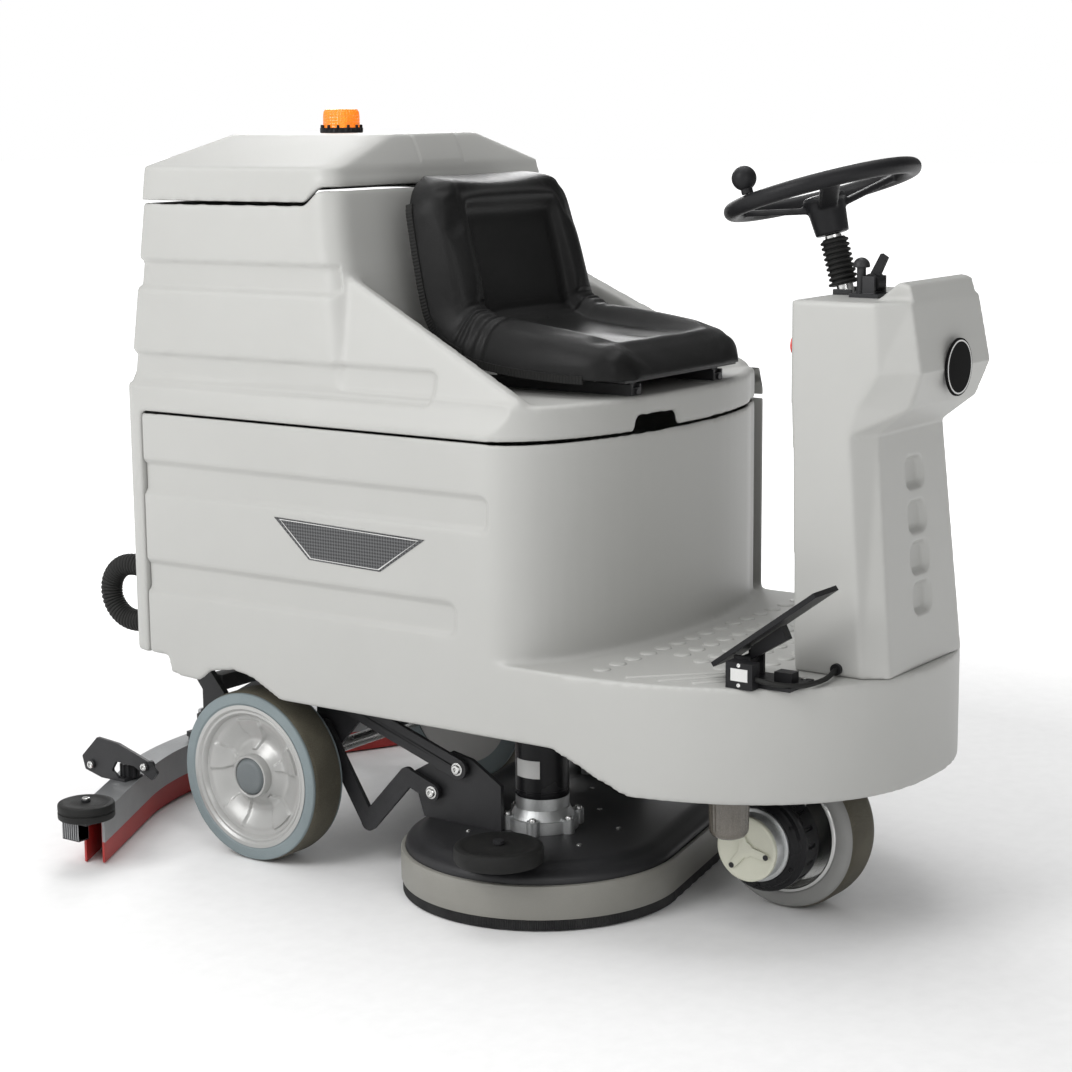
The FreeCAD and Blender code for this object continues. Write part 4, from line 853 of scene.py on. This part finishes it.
# ---------------------------------------------------------------- wheels
WHEEL_R = 150.0


def petal_height(radius, turn):
    """Height of the wheel face over its rim plane: a dish with five pressed petals."""
    dish = -20.0 * float(smooth(104.0, 60.0, radius)) + 14.0 * float(smooth(62.0, 36.0, radius))
    dish -= 6.0 * float(smooth(112.0, 106.0, radius))
    sector = 2 * math.pi / 5
    local = (turn + 0.35) % sector - sector / 2
    if 44.0 < radius < 101.0:
        share = (radius - 44.0) / 57.0
        left = -0.15 - 0.17 * min(1.0, share * 1.6)
        right = 0.1 + 0.16 * min(1.0, share * 2.2) - 0.1 * max(0.0, share - 0.5)
        inside = min(local - left, right - local) * radius
        inside = min(inside, (radius - 44.0) * 1.2)
        dish += 7.0 * float(smooth(0.0, 2.6, inside)) * (1.0 - 0.4 * share)
    return dish


def wheel_face(name, side, body):
    """Moulded wheel disc: outer lip, dish with petals, and the ring round the cap."""
    radii = [116, 115, 112, 110, 107, 104, 101]
    radii += list(np.linspace(99, 45, 28)) + [43, 40, 37, 35, 33.5, 31.5]
    steps = 220
    verts = []
    for i in range(steps):
        turn = 2 * math.pi * i / steps
        for radius in radii:
            lip = 3.0 * float(smooth(33.0, 36.0, radius)) - 3.0 * float(smooth(36.5, 42.0, radius))
            out = 331.0 + petal_height(radius, turn) + lip + 3.0 * float(smooth(106.0, 111.0, radius))
            verts.append((side * out, AXLE_Y + radius * math.cos(turn), WHEEL_R + radius * math.sin(turn)))
    faces = [(a, d, c, b) for a, b, c, d in quads(steps, len(radii), closed=False, wrapped=True)]
    face = piece(name, verts, faces, "hub", body, "hub", 40)
    return applied(face, "SOLIDIFY", thickness=5 * MM, offset=-1.0)


def rear_wheel(label, side):
    """Tyre with its side rings, rim, pressed face and cap; distances run out from the tyre's inner side."""
    body = "wheel_" + label

    def ring(name, profile, skin, slot, steps=128):
        return turned(name, profile, at(side * 260, AXLE_Y, WHEEL_R), (side, 0, 0), skin, body, slot, steps)

    tread = [(3, 128), (3, 143), (4.5, 146.5), (8, 149), (13, 150), (65, 150), (70, 149), (73.5, 147),
             (74, 128)]
    tyre = ring("tyre_tread_" + label, tread, "tread", "tyre")
    near = [(60, 114), (60, 147.4), (75.5, 147.6), (77.4, 146.2), (78, 144), (78, 130), (77, 128.6),
            (76, 127), (75.4, 122), (72, 114)]
    far = [(18, 114), (18, 147.4), (2.5, 147.6), (0.6, 146.2), (0, 144), (0, 128), (4, 114)]
    joined("tyre_sides_" + label, [ring("ring", shape, "side_ring", "tyre") for shape in (near, far)])
    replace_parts(tyre, "wheel_tyre_" + label)
    barrel = [(6, 30), (6, 114.5), (10, 117), (60, 117), (77, 126.5), (77.4, 120), (72, 114), (50, 110),
              (46, 100), (44, 20), (40, 16), (6, 16)]
    ring("hub_rim_" + label, barrel, "hub", "hub")
    face = wheel_face("hub_face_" + label, side, body)
    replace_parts(face, "wheel_hub_" + label)
    cap = [(40, 14), (40, 33), (72, 33), (74, 31.5), (75.4, 30), (78, 28.6), (79.4, 27), (80.4, 22),
           (81, 0)]
    ring("hub_cap_" + label, cap, "cap", "hub", 64)
    lip = [(60, 32.6), (60, 38), (75, 38), (77, 36.6), (77, 34), (75.5, 32.6)]
    ring("hub_ring_" + label, lip, "hub", "hub", 64)


for label, side in SIDES:
    rear_wheel(label, side)

DRIVE_Y = -520.0
DRIVE_R = 130.0


def drive_unit():
    """Drive wheel and, out from it along the machine's right, the drum, motor, cap and star."""
    origin = at(0, DRIVE_Y, DRIVE_R)
    axis = (-1, 0, 0)

    def ring(name, profile, skin, body, slot, steps=128, wave=None):
        return turned(name, profile, origin, axis, skin, body, slot, steps, wave)

    def screws(name, count, offset, out, reach, *sizes):
        return [bolt(name, origin + Vector((-out, c * reach, s * reach)) * MM, axis, *sizes)
                for c, s in turns(count, offset)]

    tread = [(-40, 104), (-40, 122), (-37, 126), (-30, 128.8), (-22, 130), (22, 130), (30, 128.8),
             (37, 126), (40, 122), (40, 104)]
    tyre = ring("drive_tread", tread, "tread", "drive_wheel", "tyre")
    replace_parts(tyre, "drive_tyre")
    side = [(34, 100), (34, 126.6), (38, 126.0), (42, 123), (45, 117), (46, 110), (46, 102), (44, 100)]
    joined("drive_side_rings", [ring("ring", [(s * along, radius) for along, radius in side], "grey_ring",
                                     "drive_wheel", "tyre") for s in (-1, 1)])
    rim = [(30, 90), (30, 101), (44, 101.5), (46.5, 99), (47, 95), (45, 93.5), (43, 92), (30, 90)]
    parts = [ring("rim", [(s * along, radius) for along, radius in rim], "steel", "drive_wheel", "steel",
                  96)
             for s in (-1, 1)]
    web = [(-12, 18.1), (-12, 88), (-30, 91), (-30, 95), (30, 95), (30, 91), (12, 88), (12, 18.1)]
    parts.append(ring("rim", web, "steel", "drive_wheel", "steel", 96))
    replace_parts(joined("drive_rim_detailed", parts), "drive_rim")

    def slotted(along, radius, turn):
        """Shallow slots round the drum's shoulder."""
        if radius > 80.5 and 78 < along < 100 and (turn * 18 / (2 * math.pi)) % 1.0 < 0.16:
            return along, radius - 3.0
        return along, radius

    drum = [(62, 40), (62, 78), (65, 81), (72, 82), (78.0, 82), (78.5, 82), (99.5, 82), (100, 82),
            (106, 82), (109, 79),
            (110, 75), (112, 74), (116, 72), (118, 66), (120, 64), (120.5, 62), (122, 58), (122, 40)]
    gear = ring("drive_drum", drum, "satin", "drive_unit", "frame", 288, slotted)
    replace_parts(gear, "drive_gearbox")
    joined("drum_screws", screws("screw", 6, 0.5, 117.5, 69, 3.4, 2.0, "drive_unit", "satin"))
    can = [(122, 30), (122, 58), (123, 60), (127, 60), (128, 58.5), (128.4, 54), (146, 54), (148, 53),
           (148, 30)]
    ring("motor_can", can, "aluminium", "drive_unit", "aluminium", 96)
    cap = [(148, 20), (148, 53), (149.5, 53.6), (154, 53), (155, 51.5), (155, 48), (154.4, 46), (154.6, 0)]
    motor = ring("motor_cap", cap, "cream", "drive_unit", "aluminium", 96)
    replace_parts(motor, "drive_motor")
    outline = []
    for i in range(36):
        spin = 2 * math.pi * i / 36 + math.radians(70)
        reach = 13 + 31 * math.cos(1.5 * (spin - math.radians(70))) ** 10
        outline.append((DRIVE_Y + reach * math.cos(spin), DRIVE_R + reach * math.sin(spin)))
    plate = outline_prism("star", outline, -154.0, -159.0, "cream", "drive_unit", "aluminium")
    applied(plate, "BEVEL", width=1.2 * MM, segments=2)
    holes = screws("star", 3, 70 / 120, 158.6, 38, 4.6, 1.4, "drive_unit", "frame")
    joined("motor_star", [plate] + holes)


drive_unit()


# ---------------------------------------------------------------- brush deck
DECK_R = 238.0
DECK_CENTRES = ((-160.0, -130.0), (187.0, -54.0))


def deck_outline(radius, steps=90, tooth=0.0):
    """The deck's plan outline: two arcs and the common tangents between them."""
    (x0, y0), (x1, y1) = DECK_CENTRES
    lean = math.atan2(y1 - y0, x1 - x0)
    points = []
    for cx, cy, first in ((x1, y1, lean - math.pi / 2), (x0, y0, lean + math.pi / 2)):
        for i in range(steps + 1):
            turn = first + math.pi * i / steps
            reach = radius - (tooth if i % 2 else 0.0)
            points.append((cx + reach * math.cos(turn), cy + reach * math.sin(turn)))
    whole = []
    for number, (x, y) in enumerate(points):
        whole.append((x, y))
        if number in (steps, len(points) - 1):
            nx, ny = points[(number + 1) % len(points)]
            for k in range(1, 20):
                share = k / 20
                reach = tooth * (0.5 - 0.5 * math.cos(math.pi * k)) / radius
                whole.append(((x + (nx - x) * share) * (1 - reach), (y + (ny - y) * share) * (1 - reach)))
    return whole


def deck_shell(name, outer, inner, skin, slot, capped=False, steps=90, tooth=0.0):
    """Loops of (z, inset) round the deck's plan, up the outside and down the inside."""
    loops = [[(x, y, z) for x, y in deck_outline(DECK_R - inset, steps, tooth)] for z,
             inset in outer + inner]
    count = len(loops[0])
    verts = [point for loop in loops for point in loop]
    faces = quads(len(loops), count, wrapped=not capped)
    if capped:
        gap = (len(outer) - 1) * count
        last = (len(loops) - 1) * count
        del faces[gap:gap + count]
        faces += [(i, (i + 1) % count, last + (i + 1) % count, last + i) for i in range(count)]
        faces += [tuple(range(gap, gap + count)), tuple(range(gap + count, gap + 2 * count))]
    return piece(name, verts, faces, skin, "deck", slot, 35)


outside = [(21, 6), (20, 1.5), (23, 0.3), (40, 0), (56, 0), (72, 0.3), (75, 1.2), (76, 3)]
band = deck_shell("deck_strip", outside, [(76, 7.5), (21, 7.5)], "strip", "strip")
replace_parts(band, "deck_skirt")
deck_shell("splash_bristles", [(1.2, 5.5), (2, 2.6), (20, 2.2)], [(20, 9.8), (1.2, 8.5)], "bristle",
           "bristle", steps=520, tooth=1.5)
cover = deck_shell("deck_cover_pressing",
                   [(58, 8.4), (78, 8.4), (84, 9.2), (88, 12), (91, 17), (93.5, 24), (97, 30), (101, 35),
                    (103.4, 42), (104, 50), (104, 120)],
                   [(98, 120), (98, 46), (90, 34), (84, 20), (78, 14.5), (58, 14.5)], "frame", "frame",
                   True)
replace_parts(cover, "deck_cover")

deck_bolts = []
for cx, cy in DECK_CENTRES:
    deck_bolts += [bolt("bolt", at(cx + 62 * c, cy + 62 * s, 127.6), UP, 6, 5, "deck")
                   for c, s in turns(6, 1 / 3)]
    deck_bolts += [bolt("bolt", at(cx + 128 * c, cy + 128 * s, 103.4), UP, 4.5, 3, "deck")
                   for c, s in turns(7, 0.5 + 0.7 / math.pi)]
joined("deck_bolts", deck_bolts)


def brush_motor(label, cx, cy):
    """Motor can with its grooves, blank label and cable gland."""
    profile = [(0, 30), (0, 44), (1.5, 45), (8, 45), (9, 43.8), (11, 43.8), (12, 45), (104, 45),
               (105, 43.8), (107, 43.8), (108, 45), (114, 45), (118, 43), (120, 38), (121, 30), (124, 27),
               (124, 0)]
    can = turned("brush_motor_" + label, profile, at(cx, cy, 160), UP, "satin", "deck", "frame", 96)
    verts = []
    for k in range(13):
        spin = math.radians(180 + (k - 6) * 5)
        for radius, z in ((45.1, 196), (45.1, 226), (45.7, 226), (45.7, 196)):
            verts.append((cx + radius * math.cos(spin), cy + radius * math.sin(spin), z))
    faces = quads(13, 4) + [(0, 1, 2, 3), (51, 50, 49, 48)]
    piece("motor_label_" + label, verts, faces, "label", "deck", "frame", 35)
    gland = [(0, 9), (6, 9), (6.5, 7), (16, 7), (17, 5), (17, 0)]
    turned("motor_gland_" + label, gland, at(cx + 30, cy - 30, 262), (0.7, -0.7, 0), "rubber", "deck",
           "rubber", 32)
    return can


def deck_roller(label, x, y):
    """Soft bumper roller with a dished top and a moulded rim."""
    profile = [(0.5, 6.1), (0.5, 66), (2, 70), (6, 72), (22, 72), (26.5, 70.5), (28.6, 67), (29, 62),
               (28, 58), (27.2, 54), (27.2, 24), (28.5, 20), (28.8, 12), (28.8, 6.1), (0.5, 6.1)]
    roller = turned("bumper_roller_" + label, profile, at(x, y, 110), UP, "rubber",
                    "deck_roller_" + label, "black", 96)
    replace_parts(roller, "deck_roller_" + label)


def bristle_brush(label, cx, cy):
    """Disc brush: plate, drive dog and rings of bristle tufts."""
    body = "brush_" + label
    plate = [(42, 26), (42, 168), (44, 171), (54, 172), (56, 170), (56, 60), (58, 40), (58, 24.5),
             (84, 24), (84, 0)]
    top = turned("brush_plate_" + label, plate, at(cx, cy, 0), UP, "black", body, "bristle", 96)
    verts = []
    faces = []
    for ring, count in ((160, 84), (138, 72), (116, 60), (94, 48), (72, 36)):
        for i in range(count):
            spin = 2 * math.pi * (i + 0.5 * (ring % 4 == 0)) / count
            tx, ty = cx + ring * math.cos(spin), cy + ring * math.sin(spin)
            start = len(verts)
            for z, reach in ((43, 3.4), (3, 5.2)):
                for n in range(6):
                    angle = spin + 2 * math.pi * n / 6
                    verts.append((tx + reach * math.cos(angle), ty + reach * math.sin(angle), z))
            faces += [(start + n, start + (n + 1) % 6, start + 6 + (n + 1) % 6,
                       start + 6 + n) for n in range(6)]
            faces += [tuple(start + 5 - n for n in range(6)), tuple(start + 6 + n for n in range(6))]
    piece("brush_tufts_" + label, verts, faces, "bristle", body, "bristle", 40)
    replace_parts(top, "brush_" + label)


motors = [brush_motor(label, *centre) for (label, _), centre in zip(SIDES, DECK_CENTRES)]
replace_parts(motors[0], "brush_motors")
deck_roller("right", -374.0, -196.0)
deck_roller("left", 404.0, -118.0)
for (label, _), centre in zip(SIDES, DECK_CENTRES):
    bristle_brush(label, *centre)

# ---------------------------------------------------------------- beacon, steering and console details
BEACON = at(0, 408, 1244)
base = [(0, 30), (0, 37), (1, 38), (8, 38), (9, 37), (9, 30)]


def toothed(along, radius, turn):
    if radius > 36 and (turn * 24 / (2 * math.pi)) % 1.0 < 0.4 and along > 3:
        return along, radius - 2.0
    return along, radius


ring = turned("beacon_base", base, BEACON, UP, "black", "lid", "black", 192, toothed)
lens = [(9, 29), (9, 32.5), (30, 32.2), (37, 31), (41, 28), (42.6, 22), (43, 10), (43, 0)]


def fluted(along, radius, turn):
    if 10 < along < 40 and radius > 25:
        return along, radius - 0.9 * abs(math.sin(18 * turn))
    return along, radius


beacon = turned("beacon_lens", lens, BEACON, UP, "amber", "lid", "amber", 216, fluted)
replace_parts(beacon, "beacon")
cage = []
for c, s in turns(12):
    cage.append(bolt("stud", at(35 * c, 408 + 35 * s, 1252), UP, 2.6, 6, "lid", "black", False))
joined("beacon_studs", cage)

COLUMN_BASE = at(0, -605, 988)
COLUMN_LEAN = math.radians(16.0)
COLUMN_AXIS = Vector((0, math.sin(COLUMN_LEAN), math.cos(COLUMN_LEAN)))
moulded("steering_wheel_moulding", ["steering_wheel"], 2.4, 5, "black", "wheel")
cap_profile = [(155, 26), (163, 33), (166, 32), (167.4, 28), (167.6, 22), (166.8, 20), (167.2, 0)]
turned("wheel_cap", cap_profile, COLUMN_BASE, COLUMN_AXIS, "satin", "wheel", "black", 64)

bellows = []
for i in range(9):
    low = 26 + 8.1 * i
    grow = 2.2 if i == 0 else 0.0
    bellows += [(low, 18.2), (low + 1.6, 21.6 + grow), (low + 3.4, 22.4 + grow), (low + 5.2, 21.6 + grow),
                (low + 6.8, 18.2)]
bellows += [(99.6, 17.2), (99.6, 13.4), (26, 13.4), (26, 18.2)]
boot = turned("boot_bellows", bellows, COLUMN_BASE, COLUMN_AXIS, "rubber", "column", "rubber", 72)
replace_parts(boot, "column_boot")

EMBLEM = at(0, -791.2, 896)
disc = [(0, 0), (0, 43), (0.8, 44), (3.4, 44), (4.2, 43.2), (4.4, 40), (4.4, 0)]
turned("emblem_disc", disc, EMBLEM, (0, -1, 0), "matt", "chassis", "black", 96)
halo = [(4.0, 38.6), (4.7, 39), (4.7, 41), (4.0, 41.4)]
turned("emblem_ring", halo, EMBLEM, (0, -1, 0), "label", "chassis", "black", 96)


BADGE = [(261, 622), (-55, 614), (37, 553), (187, 557)]
BADGE_INNER = [(249, 619.6), (-43, 611.8), (39, 555.6), (184, 559.4)]
for label, side in SIDES:
    plate = outline_prism("badge_plate_" + label, BADGE, side * 370.0, side * 372.0, "carbon", "chassis",
                          "black")
    outline_prism("badge_border_" + label, BADGE_INNER, side * 371.6, side * 372.4, "label", "chassis",
                  "black", 1.1)
    if side < 0:
        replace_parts(plate, "badges")


# ---------------------------------------------------------------- hose and pedal lead
def nurbs_route(name, points):
    """A NURBS curve with the route's points, in millimetres, as its control points."""
    curve = bpy.data.curves.new(name, "CURVE")
    curve.dimensions = "3D"
    spline = curve.splines.new("NURBS")
    spline.points.add(len(points) - 1)
    for point, place in zip(spline.points, points):
        point.co = (*at(*place), 1.0)
    spline.order_u = 3
    spline.use_endpoint_u = True
    spline.resolution_u = 24
    obj = bpy.data.objects.new(name, curve)
    bpy.context.scene.collection.objects.link(obj)
    return obj


def drain_hose():
    """Corrugated hose: rings follow the route's own curve."""
    route = nurbs_route("route", [(-305, 625, 487), (-305, 657, 491), (-305, 693, 482), (-305, 716, 454),
                                  (-305, 715, 418), (-305, 690, 392), (-305, 655, 385), (-305, 625, 390)])
    bpy.context.view_layer.update()
    line = bpy.data.meshes.new_from_object(route.evaluated_get(bpy.context.evaluated_depsgraph_get()))
    coarse = [v.co.copy() for v in line.vertices]
    bpy.data.objects.remove(route)
    reach = [0.0]
    for a, b in zip(coarse, coarse[1:]):
        reach.append(reach[-1] + (b - a).length)
    rings = int(reach[-1] / MM)
    path = []
    for i in range(rings + 1):
        target = reach[-1] * i / rings
        k = min(len(coarse) - 2, max(0, next((n for n, r in enumerate(reach) if r >= target), 1) - 1))
        share = (target - reach[k]) / max(reach[k + 1] - reach[k], 1e-9)
        path.append(coarse[k].lerp(coarse[k + 1], share))
    verts = []
    around = 40
    for i, middle in enumerate(path):
        ahead = (path[min(i + 1, rings)] - path[max(i - 1, 0)]).normalized()
        side = Vector((1, 0, 0))
        up = ahead.cross(side).normalized()
        phase = (i % 7) / 7
        radius = 17.0 + 2.5 * math.sin(math.pi * phase) ** 0.6
        verts += [tuple(middle / MM + (side * c + up * s) * radius) for c, s in turns(around)]
    faces = quads(rings + 1, around)
    faces += [tuple(range(around)), tuple(rings * around + n for n in range(around))]
    hose = piece("drain_hose_corrugated", verts, faces, "rubber", "upper_tank", "rubber", 60,
                 replaces=["drain_hose"])


drain_hose()
lead = nurbs_route("pedal_lead", [(-290, -613, 446), (-288, -643, 441), (-262, -673, 437),
                                  (-222, -682, 437), (-184, -680, 437), (-157, -675, 442)])
lead.data.bevel_depth = 4.0 * MM
lead.data.bevel_resolution = 6
lead.data.use_fill_caps = True
lead.data.materials.append(SKIN["rubber"])
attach(lead, "chassis")
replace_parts(lead, "pedal_cable")
# ---------------------------------------------------------------- filter, pedal and small fittings
def solution_filter():
    """Smoked bowl with moulded flutes under a black head."""
    x, y = -218.0, -526.0
    bowl = [(0, 0), (0, 12), (1.5, 20), (5, 26.5), (10, 30)]
    bowl += [(14 + 4 * k, 31 + 0.1 * k) for k in range(13)] + [(64, 32.6), (66, 32.6), (66, 0)]

    def flute(along, radius, spin):
        if 14 < along < 62 and radius > 25:
            return along, radius - 0.9 * (1 - abs(math.sin(12 * spin)))
        return along, radius

    glass = turned("filter_bowl", bowl, at(x, y, 167), UP, "smoked", "chassis", "black", 144, flute)
    nut = [(0, 33), (0, 34.6), (1, 35.6), (10, 35.8), (11, 34.6), (11.5, 34), (12, 34), (13, 35.6),
           (33, 35.6), (34.5, 34), (35, 30), (35, 12.2), (36, 11.8), (187, 11.8), (187, 0)]

    def grip(along, radius, spin):
        if along < 11 and radius > 35 and (spin * 20 / (2 * math.pi)) % 1.0 < 0.4:
            return along, radius - 1.4
        return along, radius

    turned("filter_head", nut, at(x, y, 234), UP, "black", "chassis", "black", 160, grip)
    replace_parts(glass, "solution_filter")


def block(name, low, high, skin, body, slot, bevel=0.0):
    """Box with slightly rounded edges, from two corners in millimetres."""
    (x0, y0, z0), (x1, y1, z1) = low, high
    verts = [(x, y, z) for x in (x0, x1) for y in (y0, y1) for z in (z0, z1)]
    faces = [(0, 1, 3, 2), (4, 6, 7, 5), (0, 4, 5, 1), (2, 3, 7, 6), (0, 2, 6, 4), (1, 5, 7, 3)]
    made = piece(name, verts, faces, skin, body, slot, 40)
    return applied(made, "BEVEL", width=bevel * MM, segments=2) if bevel else made


def pedal_details():
    """Grip ribs across the foot plate, and the sensor's blank label and screws."""
    y, z = -573.0, 462.0
    lean = math.radians(36)
    ribs = []
    for k in range(20):
        along = 12 + 10.0 * k
        corners = []
        for distance, lift in ((along - 2, 7.6), (along - 1.3, 8.6), (along + 1.3, 8.6), (along + 2, 7.6)):
            corners.append((y + 42 - distance * math.cos(lean) + lift * math.sin(lean),
                            z - 10.5 + distance * math.sin(lean) + lift * math.cos(lean)))
        ribs.append(outline_prism("rib", corners, -271.0, -211.0, "black", "pedal", "black"))
    joined("pedal_ribs", ribs)
    block("sensor_label", (-300.5, -605, 442), (-299.9, -576, 461), "label", "chassis", "black")
    screws = [bolt("screw", at(-299.8, sy, sz), (-1, 0, 0), 3.2, 2.0, "chassis")
              for sy, sz in ((-590, 466.5), (-590, 436.0))]
    screws += [bolt("screw", at(px, py, 435.8), UP, 5.2, 3.0, "chassis", "steel", False)
               for px, py in ((-268, -653), (-214, -653))]
    joined("pedal_screws", screws)


def link_bolts():
    """Silver cap screws and washers at the lift links' ends."""
    for label, side in SIDES:
        for name, body, y, z in (("upper_rear", "upper_links", 220, 280),
                                 ("upper_front", "upper_links", -15, 202),
                                 ("lower_front", "lower_links", 40, 153)):
            made = [bolt("bolt", at(side * 244.4, y, z), (side, 0, 0), 8.2, 5.5, body)]
            washer = [(0, 5), (0, 11), (1.4, 11), (1.6, 10.6), (1.6, 5)]
            made.append(turned("washer", washer, at(side * 243.9, y, z), (side, 0, 0), "steel", body,
                               "steel", 40))
            joined("link_bolt_%s_%s" % (name, label), made)


def squeegee_details():
    """Screws in the end rollers and C-plates, and ribs on the blade clamps."""
    for label, side in SIDES:
        made = [bolt("bolt", at(side * 535, 563, 126.6), UP, 7.0, 3.5, "squeegee")]
        for y, z in ((733, 120), (599, 136)):
            made.append(bolt("bolt", at(side * 357.6, y, z), (side, 0, 0), 6.8, 5.0, "squeegee"))
        joined("squeegee_screws_" + label, made)
        middle = side * 519.5
        ribs = [block("rib", (middle - 12.5, 589 + 5.2 * k, 46), (middle + 12.5, 591.6 + 5.2 * k, 84.6),
                      "grey_metal", "squeegee", "grey_metal", 0.4) for k in range(8)]
        joined("clamp_ribs_" + label, ribs)


def roller_rim(label, side):
    """Soft ring with a tread groove round the squeegee's end roller."""
    profile = [(0.2, 5.1), (0.2, 44), (1.6, 47.4), (4, 48.8), (12.5, 48.8), (13.3, 47), (15.7, 47),
               (16.5, 48.8), (25, 48.8), (27.4, 47.4), (28.8, 44), (28.8, 38), (27.4, 35), (27.4, 18),
               (28.8, 14),
               (28.8, 5.1), (0.2, 5.1)]
    ring = turned("squeegee_end_roller_" + label, profile, at(side * 535, 563, 94), UP, "rubber",
                  "squeegee_roller_" + label, "black", 96)
    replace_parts(ring, "squeegee_roller_" + label)


def panel_details():
    """Blank keys on the instrument plate."""
    joined("panel_keys", [block("key", (-34 + 18 * k, -581.2, 884), (-22 + 18 * k, -578.6, 896), "conduit",
                                "chassis", "black", 0.6) for k in range(4)])


solution_filter()
pedal_details()
link_bolts()
squeegee_details()
for label, side in SIDES:
    roller_rim(label, side)
panel_details()


# ---------------------------------------------------------------- carried-over CAD nodes
REPLACED = set()
for obj in bpy.data.objects:
    REPLACED.update(obj.get("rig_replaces", []))
for node, obj in frame["nodes"].items():
    if node in REPLACED:
        continue
    for number, old in enumerate(obj.data.materials):
        obj.material_slots[number].link = "OBJECT"
        obj.material_slots[number].material = SKIN[old.name.split(".")[0]]
    weld = obj.modifiers.new("weld", "WELD")
    weld.merge_threshold = 0.00002
    chamfer = obj.modifiers.new("chamfer", "BEVEL")
    chamfer.width = 0.0009
    chamfer.segments = 2
    chamfer.limit_method = "ANGLE"
    chamfer.angle_limit = math.radians(38)
    weights = obj.modifiers.new("weights", "WEIGHTED_NORMAL")
    weights.keep_sharp = True


# ---------------------------------------------------------------- floor, lights and camera
floor_mesh = bpy.data.meshes.new("floor")
floor_mesh.from_pydata([(-40, -40, 0), (40, -40, 0), (40, 40, 0), (-40, 40, 0)], [], [(0, 1, 2, 3)])
floor = bpy.data.objects.new("floor", floor_mesh)
bpy.context.scene.collection.objects.link(floor)
floor_skin = finish_material("floor", (0.80, 0.80, 0.80), (0.84, 0.84, 0.84), 0.75, 30, 0.02, 0.6)
floor.data.materials.append(floor_skin)
floor_tree = floor_skin.node_tree
spot = floor_tree.nodes["Texture Coordinate"].outputs["Object"]
reach = add(floor_tree, "VectorMath", spot, operation="LENGTH").outputs["Value"]
glow = add(floor_tree, "MapRange", reach, From_Min=1.3, From_Max=3.6, To_Max=0.85).outputs[0]
floor_shader = floor_tree.nodes["Principled BSDF"]
feed(floor_shader, "Emission_Color", (1, 1, 1, 1))
feed(floor_shader, "Emission_Strength", glow)
floor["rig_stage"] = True


def area_light(name, place, target, size, energy, colour=(1, 1, 1)):
    lamp = bpy.data.lights.new(name, "AREA")
    lamp.shape = "RECTANGLE"
    lamp.size, lamp.size_y = size
    lamp.energy = energy
    lamp.color = colour
    obj = bpy.data.objects.new(name, lamp)
    bpy.context.scene.collection.objects.link(obj)
    obj.location = place
    obj.rotation_euler = (Vector(target) - Vector(place)).to_track_quat("-Z", "Y").to_euler()
    return obj


area_light("key", (-3.4, 1.0, 3.0), (0, 0, 0.6), (2.2, 2.2), 95)
area_light("front_left", (-2.6, -3.2, 2.2), (0, -0.2, 0.5), (1.6, 1.6), 26)
area_light("top", (0.3, 0.2, 4.0), (0, 0, 0.5), (3.0, 3.0), 60)
area_light("rim", (2.6, 2.2, 2.4), (0, 0, 0.8), (1.6, 1.6), 40)
world = bpy.data.worlds.new("studio")
bpy.context.scene.world = world
world.use_nodes = True
sky = world.node_tree
backdrop = sky.nodes["Background"]
feed(backdrop, 0, (1.0, 1.0, 1.0, 1))
feed(backdrop, 1, 1.0)
toward = add(sky, "TexCoord").outputs["Generated"]
facing = add(sky, "VectorMath", toward, (-0.72, 0.55, 0.42), operation="DOT_PRODUCT").outputs["Value"]
shade = add(sky, "MapRange", facing, From_Min=-0.75, From_Max=0.7, To_Min=0.16).outputs[0]
studio = add(sky, "Background", shade, 0.75).outputs[0]
seen = add(sky, "LightPath").outputs["Is Camera Ray"]
mixed = add(sky, "MixShader", seen, studio, backdrop.outputs[0]).outputs[0]
feed(sky.nodes["World Output"], "Surface", mixed)
bpy.context.scene.view_settings.view_transform = "Standard"

EYE = Vector((-3.2917, -2.3550, 1.2971))
YAW = math.radians(35.50)
PITCH = math.radians(10.347)
ROLL = math.radians(-0.504)
ahead = Vector((math.cos(YAW) * math.cos(PITCH), math.sin(YAW) * math.cos(PITCH), -math.sin(PITCH)))
right = ahead.cross(Vector((0, 0, 1))).normalized()
above = right.cross(ahead)
tilted_right = right * math.cos(ROLL) + above * math.sin(ROLL)
tilted_above = above * math.cos(ROLL) - right * math.sin(ROLL)
turn = Matrix((tilted_right, tilted_above, -ahead)).transposed().to_4x4()
camera_data = bpy.data.cameras.new("camera")
camera_data.lens = 80.1
camera_data.sensor_width = 36.0
camera = bpy.data.objects.new("camera", camera_data)
camera.matrix_world = Matrix.Translation(EYE) @ turn
bpy.context.scene.collection.objects.link(camera)
bpy.context.scene.camera = camera

low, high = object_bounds()
